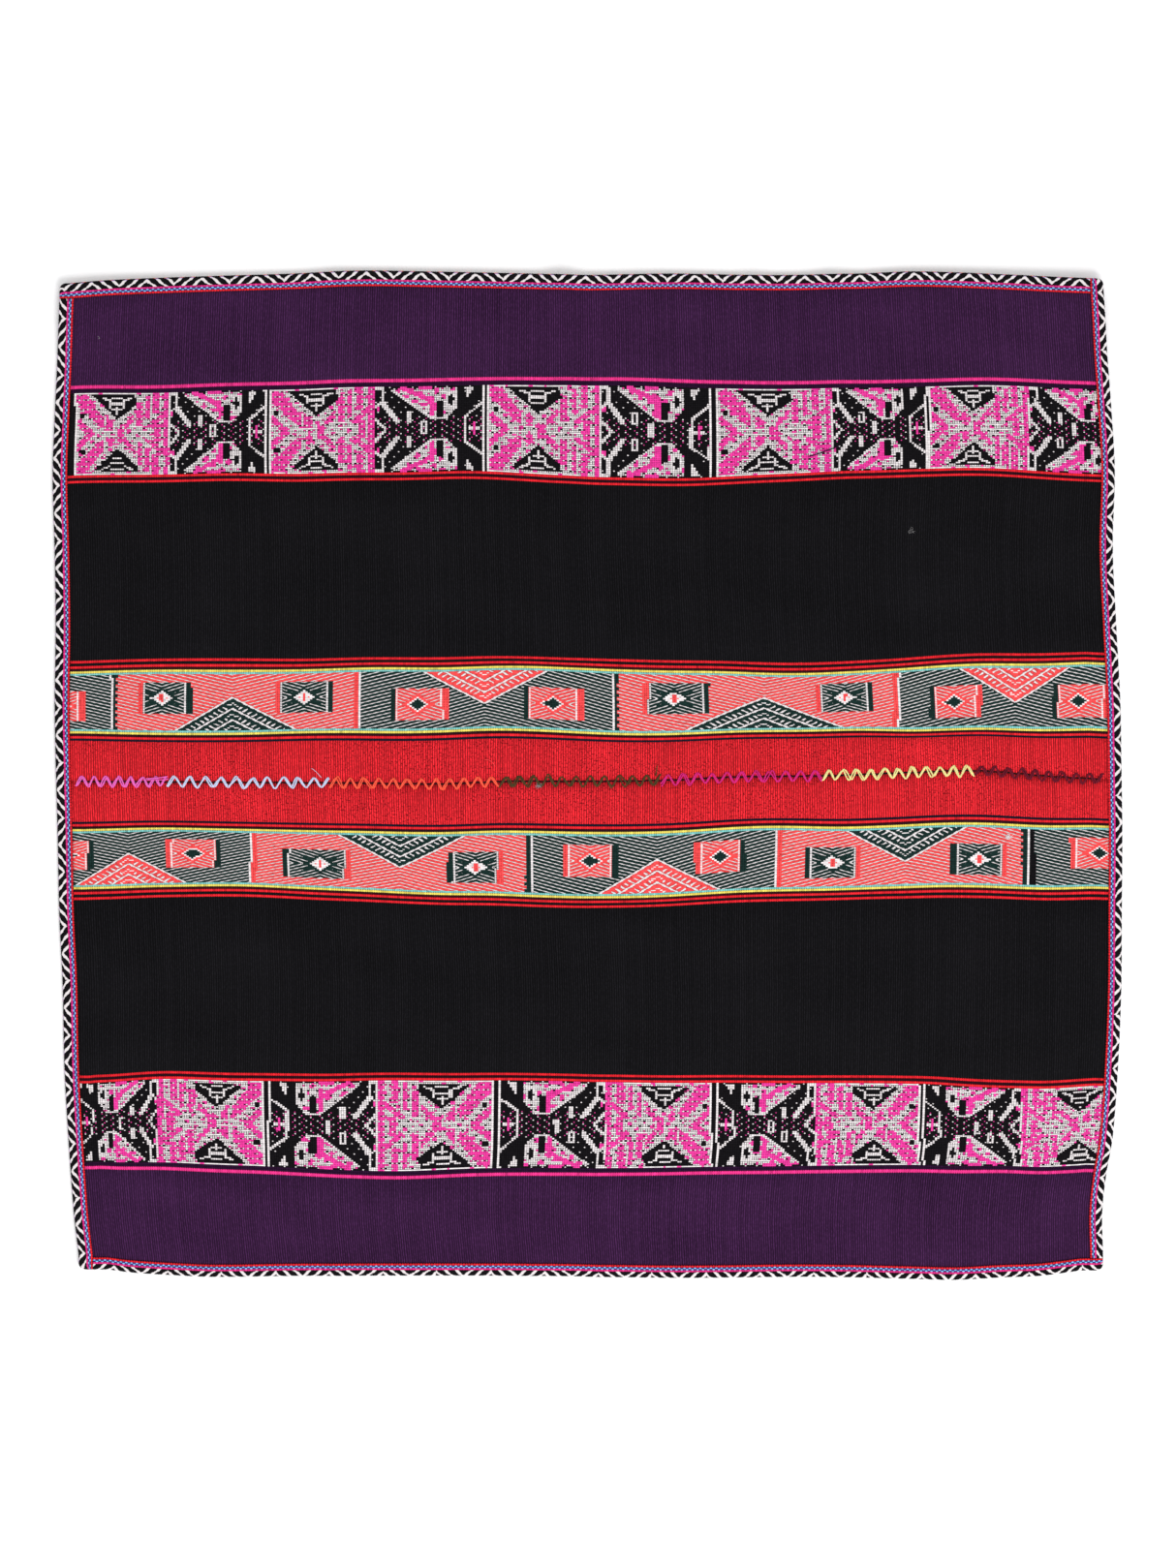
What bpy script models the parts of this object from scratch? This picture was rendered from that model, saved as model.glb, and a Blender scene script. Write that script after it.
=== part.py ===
"""Woven carrying cloth of two four-selvedge panels, sewn side by side and bound with a woven edging.

The cloth lies flat, face up. X runs along the warp (the stripes), Y across the panels, Z is up.
The origin is the middle of the cloth on the surface it lies on. Sizes are in metres.

Each piece is first made flat on a nominal rectangle, with p along the warp and q across it, and
is then laid down: lay() draws its edges in and out to the outline of the real, handled cloth and
lifts it over the creases left by folding, the stiff corners and the thick edging.
"""

import math

import bmesh
import bpy
from mathutils import Matrix, Vector

MM = 0.001

# Driving sizes
LENGTH = 1060 * MM  # along the warp, edging included
WIDTH = 1000 * MM  # both panels and the edging
PANEL_THICKNESS = 1.6 * MM  # dense warp-faced weave
EDGING_WALL = 1.2 * MM  # the edging's own thickness above and below the panel
EDGING_ROUNDING = 1.6 * MM  # the soft outer corner of its section
CLEARANCE = 0.3 * MM  # between pieces that touch
CORNER_ROUNDING = 7 * MM  # where an edging turns a corner of the cloth
SETTLE_LENGTH = 30 * MM  # over which a panel comes down from the edging to the surface
MEDIUM_STEP = 30 * MM  # the coarsest spacing of the stations along and across a panel
FINE_STEP = 11 * MM  # the same beside a crease

HALF_LENGTH = LENGTH / 2
HALF_WIDTH = WIDTH / 2
# How far each length of edging covers the face and the back
TOP_REACH = 15.5 * MM
RIGHT_REACH = 13.5 * MM
BOTTOM_REACH = 12.5 * MM
LEFT_REACH = 14.8 * MM
SLOT_HEIGHT = PANEL_THICKNESS + 2 * CLEARANCE
EDGING_THICKNESS = SLOT_HEIGHT + 2 * EDGING_WALL
SLOT_START = 3.0 * MM  # the slot's closed side, from the edging's outer edge
SHUT_SLOT_DEPTH = 0.1 * MM  # what is left of the slot where an edging turns a corner
PANEL_INSET = SLOT_START + CLEARANCE
PANEL_RISE = EDGING_WALL + CLEARANCE  # a panel's underside where the edging holds it

# The outline: how far each side lies inside the nominal rectangle.
# Columns: place along the side, inset. Both in millimetres.
TOP_INSET = (
    (-520, 13.0),
    (-476, 9.5),
    (-390, 6.0),
    (-294, 3.0),
    (-227, 0.0),
    (-150, 1.0),
    (-54, 3.0),
    (0, 4.5),
    (90, 3.0),
    (186, 4.5),
    (282, 3.0),
    (340, 1.0),
    (426, 4.0),
    (484, 7.0),
    (520, 8.5),
)
BOTTOM_INSET = (
    (-500, 10.5),
    (-476, 7.5),
    (-438, 5.0),
    (-390, 3.0),
    (-294, 4.0),
    (-54, 4.0),
    (90, 2.0),
    (234, 3.0),
    (330, 1.0),
    (378, 0.0),
    (426, 2.5),
    (464, 4.0),
    (507, 9.5),
)
LEFT_INSET = (
    (-485, 26.0),
    (-441, 21.0),
    (-364, 15.5),
    (-288, 11.5),
    (-211, 10.0),
    (-134, 6.5),
    (-57, 5.0),
    (20, 3.0),
    (77, 2.0),
    (154, 3.0),
    (231, 2.0),
    (308, 0.0),
    (365, 2.0),
    (432, 5.0),
    (484, 7.5),
)
RIGHT_INSET = (
    (-480, 19.5),
    (-441, 20.0),
    (-403, 16.0),
    (-364, 9.5),
    (-288, 4.0),
    (-211, 1.0),
    (-134, 0.5),
    (-57, 0.0),
    (20, 1.0),
    (77, 2.0),
    (154, 6.0),
    (231, 9.5),
    (308, 7.5),
    (365, 10.5),
    (432, 15.5),
    (490, 20.0),
)
# The seam wanders too. Columns: place along the cloth, offset across it.
SEAM_LINE = (
    (-510, -6.0),
    (-342, -7.0),
    (-236, -7.5),
    (-150, -8.5),
    (-83, -6.0),
    (-6, -6.0),
    (73, -5.0),
    (149, -1.5),
    (232, -0.5),
    (302, 2.0),
    (386, 4.5),
    (459, -1.0),
    (514, -4.0),
)

# Creases across the warp, where the cloth has been kept folded in four.
# Columns: place at the lower edge, place at the upper edge, the crease's height at the lower
# edge, at the seam and at the upper edge, and the reach of its flanks. All in millimetres.
CREASES = (
    (10, -18, 2.2, 3.6, 4.6, 30),
    (252, 254, 0.8, 1.4, 2.4, 34),
    (-262, -250, 1.6, 1.2, 0.9, 34),
    (-60, 180, 1.2, 0.0, 1.4, 26),
)

# The stiff edging lifts the rim. Columns: place along the cloth, lift at the upper edge and
# lift at the lower edge. All in millimetres.
RIM_LIFT = (
    (-530, 6.0, 2.0),
    (-430, 3.5, 0.5),
    (-250, 2.0, 0.0),
    (0, 3.0, 0.6),
    (250, 2.5, 0.0),
    (420, 5.5, 0.5),
    (530, 9.5, 2.4),
)
RIM_REACH = 70 * MM  # how far in from the edge that lift fades out

# Woven bands of one panel, from its outer selvedge to the seam: name, width, colour, roughness
BANDS = (
    ("plum_field", 94.0 * MM, (0.040, 0.008, 0.050), 0.85),
    ("pink_figured", 89.0 * MM, (0.55, 0.20, 0.33), 0.80),
    ("black_field", 183.0 * MM, (0.006, 0.006, 0.007), 0.90),
    ("coral_figured", 72.0 * MM, (0.50, 0.17, 0.14), 0.80),
    ("red_field", 47.0 * MM, (0.62, 0.018, 0.025), 0.82),
)
# The lower panel came off the loom like the upper one, and was turned end for end
HALF_TURN = Matrix.Rotation(math.pi, 3, "Z")
EDGING_COLOUR = (0.24, 0.22, 0.23)
EDGING_ROUGHNESS = 0.8


def clear_scene():
    for thing in list(bpy.data.objects):
        bpy.data.objects.remove(thing, do_unlink=True)


def curve_through(rows, place, column=1):
    """A column of a table at a place, on a smooth curve through its rows."""
    if place <= rows[0][0]:
        return rows[0][column]
    if place >= rows[-1][0]:
        return rows[-1][column]
    last = len(rows) - 1
    k = max(i for i in range(last) if rows[i][0] <= place)
    before, start, end, after = (rows[min(max(i, 0), last)] for i in (k - 1, k, k + 1, k + 2))
    span = end[0] - start[0]
    t = (place - start[0]) / span
    slope_in = span * (end[column] - before[column]) / (end[0] - before[0])
    slope_out = span * (after[column] - start[column]) / (after[0] - start[0])
    return (
        start[column] * (2 * t**3 - 3 * t**2 + 1)
        + slope_in * (t**3 - 2 * t**2 + t)
        + end[column] * (3 * t**2 - 2 * t**3)
        + slope_out * (t**3 - t**2)
    )


def ease(share):
    """0 at 0 and below, 1 at 1 and above, and level at both ends."""
    share = min(max(share, 0.0), 1.0)
    return share * share * (3 - 2 * share)


def clamp(value, low, high):
    return min(max(value, low), high)


def outline(p, q):
    """Where a point of the nominal rectangle lies on the real outline."""
    along = (p + HALF_LENGTH) / LENGTH
    across = abs(q) / HALF_WIDTH
    left = curve_through(LEFT_INSET, q / MM) * MM
    right = curve_through(RIGHT_INSET, q / MM) * MM
    rows = TOP_INSET if q > 0 else BOTTOM_INSET
    side = curve_through(rows, p / MM) * MM
    seam = curve_through(SEAM_LINE, p / MM) * MM
    x = p + (1 - along) * left - along * right
    y = q + (1 - across) * seam - across * math.copysign(side, q)
    return x, y


def crease_lift(p, q):
    """The height that the old folds give the cloth."""
    across = (q + HALF_WIDTH) / WIDTH
    lift = 0.0
    for low_place, high_place, low, middle, high, reach in CREASES:
        place = low_place + (high_place - low_place) * across
        share = abs(p / MM - place) / reach
        height = low + (middle - low) * ease(2 * across) + (high - middle) * ease(2 * across - 1)
        lift += height * (1 - ease(share)) * (1 - 0.35 * min(share, 1.0))
    return lift * MM


def rim_lift(p, q):
    """The height of a rim that the stiff edging holds off the surface."""
    column, reach = (1, TOP_REACH) if q > 0 else (2, BOTTOM_REACH)
    height = curve_through(RIM_LIFT, p / MM, column) * MM
    inward = HALF_WIDTH - reach - abs(q)
    return height * (1 - ease(inward / RIM_REACH))


def lift_at(p, q):
    """The cloth's height over the surface. It is even across the width of the edging."""
    p = clamp(p, LEFT_REACH - HALF_LENGTH, HALF_LENGTH - RIGHT_REACH)
    q = clamp(q, BOTTOM_REACH - HALF_WIDTH, HALF_WIDTH - TOP_REACH)
    return crease_lift(p, q) + rim_lift(p, q)


def settle_at(p, q):
    """How far a panel stands up because the edging's back lies under its rim."""
    from_ends = min(HALF_LENGTH + p - LEFT_REACH, HALF_LENGTH - p - RIGHT_REACH)
    from_selvedges = min(HALF_WIDTH + q - BOTTOM_REACH, HALF_WIDTH - q - TOP_REACH)
    inward = min(from_ends, from_selvedges) - CLEARANCE
    return PANEL_RISE * (1 - ease(inward / SETTLE_LENGTH))


def lay(mesh, middle, with_settling):
    """Lays a flat bmesh down on the surface. middle moves the whole cloth to its origin."""
    for vertex in mesh.verts:
        p, q, z = vertex.co
        x, y = outline(p, q)
        height = lift_at(p, q)
        if with_settling:
            height += settle_at(p, q)
        vertex.co = Vector((x - middle[0], y - middle[1], z + height))


def outline_middle():
    """The middle of the outline's extents, which becomes the origin."""
    steps = 400
    ends = [-1 + 2 * i / steps for i in range(steps + 1)]
    xs = [outline(side * HALF_LENGTH, share * HALF_WIDTH)[0] for side in (-1, 1) for share in ends]
    ys = [outline(share * HALF_LENGTH, side * HALF_WIDTH)[1] for side in (-1, 1) for share in ends]
    return (min(xs) + max(xs)) / 2, (min(ys) + max(ys)) / 2


def stations(start, end, inner):
    """Places from start to end, no further apart than MEDIUM_STEP, through the inner ones."""
    fixed = sorted({start, end, *(x for x in inner if start < x < end)})
    places = [fixed[0]]
    for low, high in zip(fixed, fixed[1:]):
        count = max(1, math.ceil((high - low) / MEDIUM_STEP - 0.01))
        places += [low + (high - low) * (i + 1) / count for i in range(count)]
    return places


def stations_along():
    """Stations along the warp: close together at the main creases and where the edging ends."""
    crease_places = []
    for low_place, high_place, *_ in CREASES[:3]:
        middle = (low_place + high_place) / 2 * MM
        crease_places += [middle + i * FINE_STEP for i in (-3, -2, -1, 0, 1, 2, 3)]
    rims = []
    for side, reach in ((-1, LEFT_REACH), (1, RIGHT_REACH)):
        rim = HALF_LENGTH - reach - CLEARANCE
        rims += [side * (rim - x) for x in (0, SETTLE_LENGTH / 2, SETTLE_LENGTH)]
    return stations(-HALF_LENGTH + PANEL_INSET, HALF_LENGTH - PANEL_INSET, crease_places + rims)


def stations_across(reach):
    """Stations from the seam out to a panel's selvedge, and the band between each two.

    reach is that of the edging on the selvedge.
    """
    selvedge = HALF_WIDTH - PANEL_INSET
    rim = HALF_WIDTH - reach - CLEARANCE
    borders = [selvedge]
    for _, width, *_ in BANDS:
        borders.append(borders[-1] - width)
    inner = borders[1:-1] + [rim - x for x in (0, SETTLE_LENGTH / 2, SETTLE_LENGTH, RIM_REACH)]
    places = stations(CLEARANCE / 2, selvedge, inner)
    bands = []
    for low, high in zip(places, places[1:]):
        bands.append(sum((low + high) / 2 < border for border in borders[1:-1]))
    return places, bands


def new_material(name, colour, roughness):
    material = bpy.data.materials.new(name)
    material.use_nodes = True
    shader = material.node_tree.nodes["Principled BSDF"]
    shader.inputs["Base Color"].default_value = (*colour, 1.0)
    shader.inputs["Roughness"].default_value = roughness
    shader.inputs["Metallic"].default_value = 0.0
    return material


def new_object(name, mesh_data, materials, parent):
    thing = bpy.data.objects.new(name, mesh_data)
    bpy.context.scene.collection.objects.link(thing)
    for material in materials:
        mesh_data.materials.append(material)
    thing.parent = parent
    return thing


def finished(mesh, name):
    """Turns a bmesh's faces outwards, and gives it as mesh data with smooth faces."""
    bmesh.ops.recalc_face_normals(mesh, faces=mesh.faces)
    data = bpy.data.meshes.new(name)
    mesh.to_mesh(data)
    mesh.free()
    data.shade_smooth()
    data.set_sharp_from_angle(angle=math.radians(40))
    return data


def make_panel(name, side, middle, parent):
    """One loom width: side is 1 for the upper panel and -1 for the lower, which is turned."""
    along = sorted(side * place for place in stations_along())
    across, bands = stations_across(TOP_REACH if side > 0 else BOTTOM_REACH)
    columns, rows = len(along) - 1, len(across) - 1
    mesh = bmesh.new()
    bmesh.ops.create_grid(mesh, x_segments=columns, y_segments=rows, size=0.5)
    for vertex in mesh.verts:
        column = round((vertex.co.x + 0.5) * columns)
        row = round((vertex.co.y + 0.5) * rows)
        vertex.co = Vector((along[column], across[row], 0.0))
    for face in mesh.faces:
        q = face.calc_center_median().y
        face.material_index = bands[sum(q > place for place in across[1:])]
    top = bmesh.ops.extrude_face_region(mesh, geom=mesh.faces[:])["geom"]
    raised = [part for part in top if isinstance(part, bmesh.types.BMVert)]
    bmesh.ops.translate(mesh, verts=raised, vec=(0, 0, PANEL_THICKNESS))
    if side < 0:
        bmesh.ops.rotate(mesh, verts=mesh.verts, cent=(0, 0, 0), matrix=HALF_TURN)
    lay(mesh, middle, with_settling=True)
    materials = [new_material(f"{name}_{band}", colour, rough) for band, _, colour, rough in BANDS]
    return new_object(name, finished(mesh, name), materials, parent)


def edging_section(inner, outer, slot_start):
    """The edging's section as (distance in from the cloth's edge, height), folded round a slot."""
    top = EDGING_THICKNESS
    rounding = EDGING_ROUNDING
    lip_top = top - EDGING_WALL
    return (
        (inner, 0.0),
        (outer + rounding, 0.0),
        (outer + 0.3 * rounding, 0.35 * rounding),
        (outer, top / 2),
        (outer + 0.3 * rounding, top - 0.35 * rounding),
        (outer + rounding, top),
        (inner, top),
        (inner, lip_top),
        (slot_start, lip_top),
        (slot_start, EDGING_WALL),
        (inner, EDGING_WALL),
    )


def close_end(mesh, ring):
    """Caps an end with its two lips and the rounded wall between them."""
    for corners in ((0, 1, 9, 10), (1, 2, 3, 4, 5, 8, 9), (5, 6, 7, 8)):
        mesh.faces.new([ring[i] for i in corners])


def corner_inset(distance):
    """How far the outer edge draws in, at a distance from the edging's rounded end."""
    if distance >= CORNER_ROUNDING:
        return 0.0
    short = CORNER_ROUNDING - distance
    return CORNER_ROUNDING - math.sqrt(CORNER_ROUNDING**2 - short**2) * 0.999


def make_edging(name, along_warp, side, reach, places, middle, parent, material):
    """One length of edging, from its rounded end at a corner to its butted end at the next.

    places run from the rounded end, in p or q. side is the side of the cloth it binds, and
    reach is how far it covers the face.
    """
    half = HALF_WIDTH if along_warp else HALF_LENGTH
    corner = places[0]
    closed = PANEL_INSET - CLEARANCE / 2
    mesh = bmesh.new()
    ring = []
    for place in places:
        distance = abs(place - corner)
        outer = corner_inset(distance)
        shut = distance < closed
        slot_start = reach - SHUT_SLOT_DEPTH if shut else SLOT_START
        new_ring = []
        for inward, height in edging_section(reach, min(outer, reach / 2), slot_start):
            sideways = side * (half - inward)
            spot = (place, sideways, height) if along_warp else (sideways, place, height)
            new_ring.append(mesh.verts.new(spot))
        if ring:
            count = len(ring)
            for i in range(count):
                j = (i + 1) % count
                mesh.faces.new((ring[i], ring[j], new_ring[j], new_ring[i]))
        else:
            close_end(mesh, new_ring)
        ring = new_ring
    close_end(mesh, ring)
    lay(mesh, middle, with_settling=False)
    return new_object(name, finished(mesh, name), [material], parent)


def edging_places(inner, corner_sign, half, next_reach):
    """Stations of one edging: the rounded corner, the panel's own stations, the butted end.

    next_reach is that of the edging that it butts against.
    """
    corner = corner_sign * half
    butted = -corner_sign * (half - next_reach - CLEARANCE)
    turn = [corner - corner_sign * CORNER_ROUNDING * share for share in (0.0, 0.1, 0.3, 0.6, 1.0)]
    closed = PANEL_INSET - CLEARANCE / 2
    slot = [corner - corner_sign * (closed + x) for x in (-0.05 * MM, 0.05 * MM)]
    own = [x for x in inner if corner_sign * (corner - x) > CORNER_ROUNDING + MM]
    own = [x for x in own if corner_sign * (x - butted) > MM]
    return sorted([*turn, *slot, *own, butted], reverse=corner_sign > 0)


def make_edgings(middle, parent):
    """Four lengths that chase each other round the cloth, each covering one corner."""
    along = stations_along()
    upper, _ = stations_across(TOP_REACH)
    lower, _ = stations_across(BOTTOM_REACH)
    across = sorted([-place for place in lower] + upper)
    # Columns: name, along the warp, side, end with the rounded corner, its reach, the next reach
    sides = (
        ("edging_top", True, 1, -1, TOP_REACH, RIGHT_REACH),
        ("edging_right", False, 1, 1, RIGHT_REACH, BOTTOM_REACH),
        ("edging_bottom", True, -1, 1, BOTTOM_REACH, LEFT_REACH),
        ("edging_left", False, -1, -1, LEFT_REACH, TOP_REACH),
    )
    for name, along_warp, side, corner_sign, reach, next_reach in sides:
        material = new_material(f"{name}_wool", EDGING_COLOUR, EDGING_ROUGHNESS)
        inner, half = (along, HALF_LENGTH) if along_warp else (across, HALF_WIDTH)
        places = edging_places(inner, corner_sign, half, next_reach)
        make_edging(name, along_warp, side, reach, places, middle, parent, material)


def main():
    clear_scene()
    cloth = bpy.data.objects.new("carrying_cloth", None)
    bpy.context.scene.collection.objects.link(cloth)
    middle = outline_middle()
    make_panel("panel_upper", 1, middle, cloth)
    make_panel("panel_lower", -1, middle, cloth)
    make_edgings(middle, cloth)


main()
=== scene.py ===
"""Woven carrying cloth, dressed: two warp-faced panels, sewn together and bound with an edging.

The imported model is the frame. X runs along the warp, Y across the two panels and Z is up. Each
piece is made flat on a nominal rectangle, with p along the warp and q across it, and is then laid
down as the solids are: drawn in to the outline of the handled cloth and lifted over its creases.
"""

import logging
import math
from dataclasses import dataclass
from enum import Enum
from functools import cached_property
from typing import Any, Sequence

import bmesh
import bpy
import numpy as np
from mathutils import Euler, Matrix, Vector

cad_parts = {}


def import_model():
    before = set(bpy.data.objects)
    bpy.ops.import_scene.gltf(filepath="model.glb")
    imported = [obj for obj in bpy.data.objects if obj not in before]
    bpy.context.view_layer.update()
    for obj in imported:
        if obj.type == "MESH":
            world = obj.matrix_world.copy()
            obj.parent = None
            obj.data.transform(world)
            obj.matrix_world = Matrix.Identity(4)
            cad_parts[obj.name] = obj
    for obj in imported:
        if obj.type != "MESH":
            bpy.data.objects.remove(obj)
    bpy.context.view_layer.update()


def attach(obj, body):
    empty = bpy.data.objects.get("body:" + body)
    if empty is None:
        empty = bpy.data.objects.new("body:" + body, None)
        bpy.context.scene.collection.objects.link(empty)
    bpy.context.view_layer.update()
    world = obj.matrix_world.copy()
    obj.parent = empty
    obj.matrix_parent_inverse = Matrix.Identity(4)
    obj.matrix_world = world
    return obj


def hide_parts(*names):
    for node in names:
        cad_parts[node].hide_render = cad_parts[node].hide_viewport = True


LOG = logging.getLogger("carrying_cloth")
MM = 0.001
SEED = 11
PICK_PITCH = 2.29  # millimetres from one pick of a panel to the next
FAR_ROW = -100.0  # beyond every row, so that lines that bend there run on straight
TINY = 1e-9  # keeps a length from being zero

Array = np.ndarray
Rows = Sequence[Sequence[float]]
Colour = tuple[float, float, float]

# The lie of the cloth, as in the part's source. Millimetres.
TOP_INSET = (
    (-520, 13.0), (-476, 9.5), (-390, 6.0), (-294, 3.0), (-227, 0.0), (-150, 1.0), (-54, 3.0),
    (0, 4.5), (90, 3.0), (186, 4.5), (282, 3.0), (340, 1.0), (426, 4.0), (484, 7.0), (520, 8.5),
)
BOTTOM_INSET = (
    (-500, 10.5), (-476, 7.5), (-438, 5.0), (-390, 3.0), (-294, 4.0), (-54, 4.0), (90, 2.0),
    (234, 3.0), (330, 1.0), (378, 0.0), (426, 2.5), (464, 4.0), (507, 9.5),
)
LEFT_INSET = (
    (-485, 26.0), (-441, 21.0), (-364, 15.5), (-288, 11.5), (-211, 10.0), (-134, 6.5),
    (-57, 5.0), (20, 3.0), (77, 2.0), (154, 3.0), (231, 2.0), (308, 0.0), (365, 2.0),
    (432, 5.0), (484, 7.5),
)
RIGHT_INSET = (
    (-480, 19.5), (-441, 20.0), (-403, 16.0), (-364, 9.5), (-288, 4.0), (-211, 1.0),
    (-134, 0.5), (-57, 0.0), (20, 1.0), (77, 2.0), (154, 6.0), (231, 9.5), (308, 7.5),
    (365, 10.5), (432, 15.5), (490, 20.0),
)
SEAM_LINE = (
    (-510, -6.0), (-342, -7.0), (-236, -7.5), (-150, -8.5), (-83, -6.0), (-6, -6.0),
    (73, -5.0), (149, -1.5), (232, -0.5), (302, 2.0), (386, 4.5), (459, -1.0), (514, -4.0),
)
# Columns: place at the lower edge, place at the upper edge, height at the lower edge, at the
# seam and at the upper edge, reach of the flanks
CREASES = (
    (10, -18, 2.2, 3.6, 4.6, 30),
    (252, 254, 0.8, 1.4, 2.4, 34),
    (-262, -250, 1.6, 1.2, 0.9, 34),
    (-60, 180, 1.2, 0.0, 1.4, 26),
)
# Columns: place, lift at the upper edge, lift at the lower edge
RIM_LIFT = (
    (-530, 6.0, 2.0), (-430, 3.5, 0.5), (-250, 2.0, 0.0), (0, 3.0, 0.6), (250, 2.5, 0.0),
    (420, 5.5, 0.5), (530, 9.5, 2.4),
)

# The stripes wander between the seam and the edging. Millimetres.
WANDER_PLACES = (-505, -429, -352, -275, -198, -121, -45, 32, 109, 186, 263, 339, 416, 498)
# Columns: a line's place in the stripe layout, its mean shift, its shifts at those places
UPPER_WANDER = (
    (49.0, -1.7, (2, .5, .6, 2.4, 2.8, 4.3, 2.7, -.8, -2.1, -2, -2.3, -5.8, -3.9, 1.9)),
    (110.3, -1.3, (.2, 1.4, 1.1, 1.4, 3.5, 3.8, 3.5, .4, -3.1, -6.8, -6.5, -4.5, -.6, 6.6)),
    (120.3, -1.3, (.5, 2.1, 2.2, 1.5, 3, 3.5, 2.5, .3, -3.2, -6.7, -6.6, -4.8, -.5, 6.4)),
    (303.0, -1.0, (3.4, 1.7, 1.8, -.3, 0, 2.2, -.6, -3.4, -5.6, -2.1, .2, -.4, 1.7, 1.4)),
    (395.0, -1.0, (1.2, -1.8, -1.3, -1.6, -1, 1.4, 3, 3.3, -.3, -1.2, -1.6, -2.9, .9, 1.9)),
)
LOWER_WANDER = (
    (49.0, 1.4, (-.3, -3.1, -2.4, -1.1, -.4, -.1, 1.1, 2, 1.4, .1, 2.2, 1.5, 1.3, -2.1)),
    (110.3, 1.4, (-2.2, -6.2, -7.5, -4.3, -1.3, 1.3, 4.8, 5.4, 3.8, 2.4, 1.8, 1.3, 2, -1)),
    (120.3, 1.4, (-1.4, -5.9, -7.3, -4.1, -1.5, 1.2, 4.5, 4.7, 3.1, 2, 1.3, 1.5, 2.2, -.1)),
    (303.0, 1.0, (4.1, -4.4, -3.5, -2.5, -3.9, -3.4, -2.6, -1.8, -.7, 1, 1.5, 2.6, 6.9, 6.9)),
    (395.0, 1.0, (-.2, -4.1, -2.1, 2.1, 4.7, 2, 1.2, .4, -.8, -.5, -1.4, -2.6, -1.3, 2.4)),
)


class Slot(Enum):
    """Names of material slots; nothing in this script uses them."""

    PANEL = "woven_panel"
    EDGING = "woven_edging"
    SEAM = "seam_yarn"
    LOOSE = "loose_yarn"


class Yarn(Enum):
    """The dyed yarns, as sRGB colours from 0 to 255."""

    WHITE = (236, 229, 230)
    PINK = (240, 62, 160)
    HOT_PINK = (228, 54, 134)
    BLACK = (19, 17, 20)
    CORAL = (250, 78, 80)
    PINE = (24, 46, 43)
    RED = (222, 36, 46)
    GROUND_RED = (225, 39, 49)
    WINE = (44, 12, 22)
    YELLOW = (232, 212, 96)
    TURQUOISE = (122, 194, 190)
    BROWN = (52, 15, 20)
    NAVY = (20, 22, 38)
    PLUM = (40, 14, 44)
    PURPLE = (60, 29, 66)
    GROUND_BLACK = (20, 19, 22)
    PALE_BLUE = (122, 192, 240)
    VIOLET = (70, 42, 116)
    LAVENDER = (176, 152, 206)
    ORANGE = (238, 124, 62)
    ORCHID = (226, 104, 190)
    SKY = (196, 206, 232)
    APRICOT = (240, 92, 68)
    OLIVE = (76, 63, 38)
    MAGENTA = (206, 40, 122)
    CREAM = (230, 222, 150)
    MAROON = (104, 26, 42)
    GREY = (150, 148, 150)

    @property
    def number(self) -> int:
        """This yarn's place in the palette."""
        return list(Yarn).index(self)

    @property
    def linear(self) -> Colour:
        """This yarn's colour in scene-linear values."""
        return linear_colour(*self.value)


def linear_colour(red: float, green: float, blue: float) -> Colour:
    """Turns an sRGB colour from 0 to 255 into scene-linear values."""
    shares = (value / 255 for value in (red, green, blue))
    return tuple(s / 12.92 if s <= 0.04045 else ((s + 0.055) / 1.055) ** 2.4 for s in shares)


def ease(share: Array) -> Array:
    """0 at 0 and below, 1 at 1 and above, and level at both ends."""
    share = np.clip(share, 0.0, 1.0)
    return share * share * (3 - 2 * share)


def curve_through(rows: Rows, place: Array, column: int = 1) -> Array:
    """Reads a table on a smooth curve through its rows.

    Args:
        rows: The table, with the place first in each row.
        place: Where to read it.
        column: The column to read.

    Returns:
        The column's value at each place, held level beyond the table's ends.
    """
    table = np.asarray(rows, float)
    knots, values = table[:, 0], table[:, column]
    last = len(knots) - 1
    place = np.clip(place, knots[0], knots[-1])
    k = np.clip(np.searchsorted(knots, place, side="right") - 1, 0, last - 1)
    before, after = np.maximum(k - 1, 0), np.minimum(k + 2, last)
    span = knots[k + 1] - knots[k]
    t = (place - knots[k]) / span
    slope_in = span * (values[k + 1] - values[before]) / (knots[k + 1] - knots[before])
    slope_out = span * (values[after] - values[k]) / (knots[after] - knots[k])
    return (
        values[k] * (2 * t**3 - 3 * t**2 + 1)
        + slope_in * (t**3 - 2 * t**2 + t)
        + values[k + 1] * (3 * t**2 - 2 * t**3)
        + slope_out * (t**3 - t**2)
    )


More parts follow.
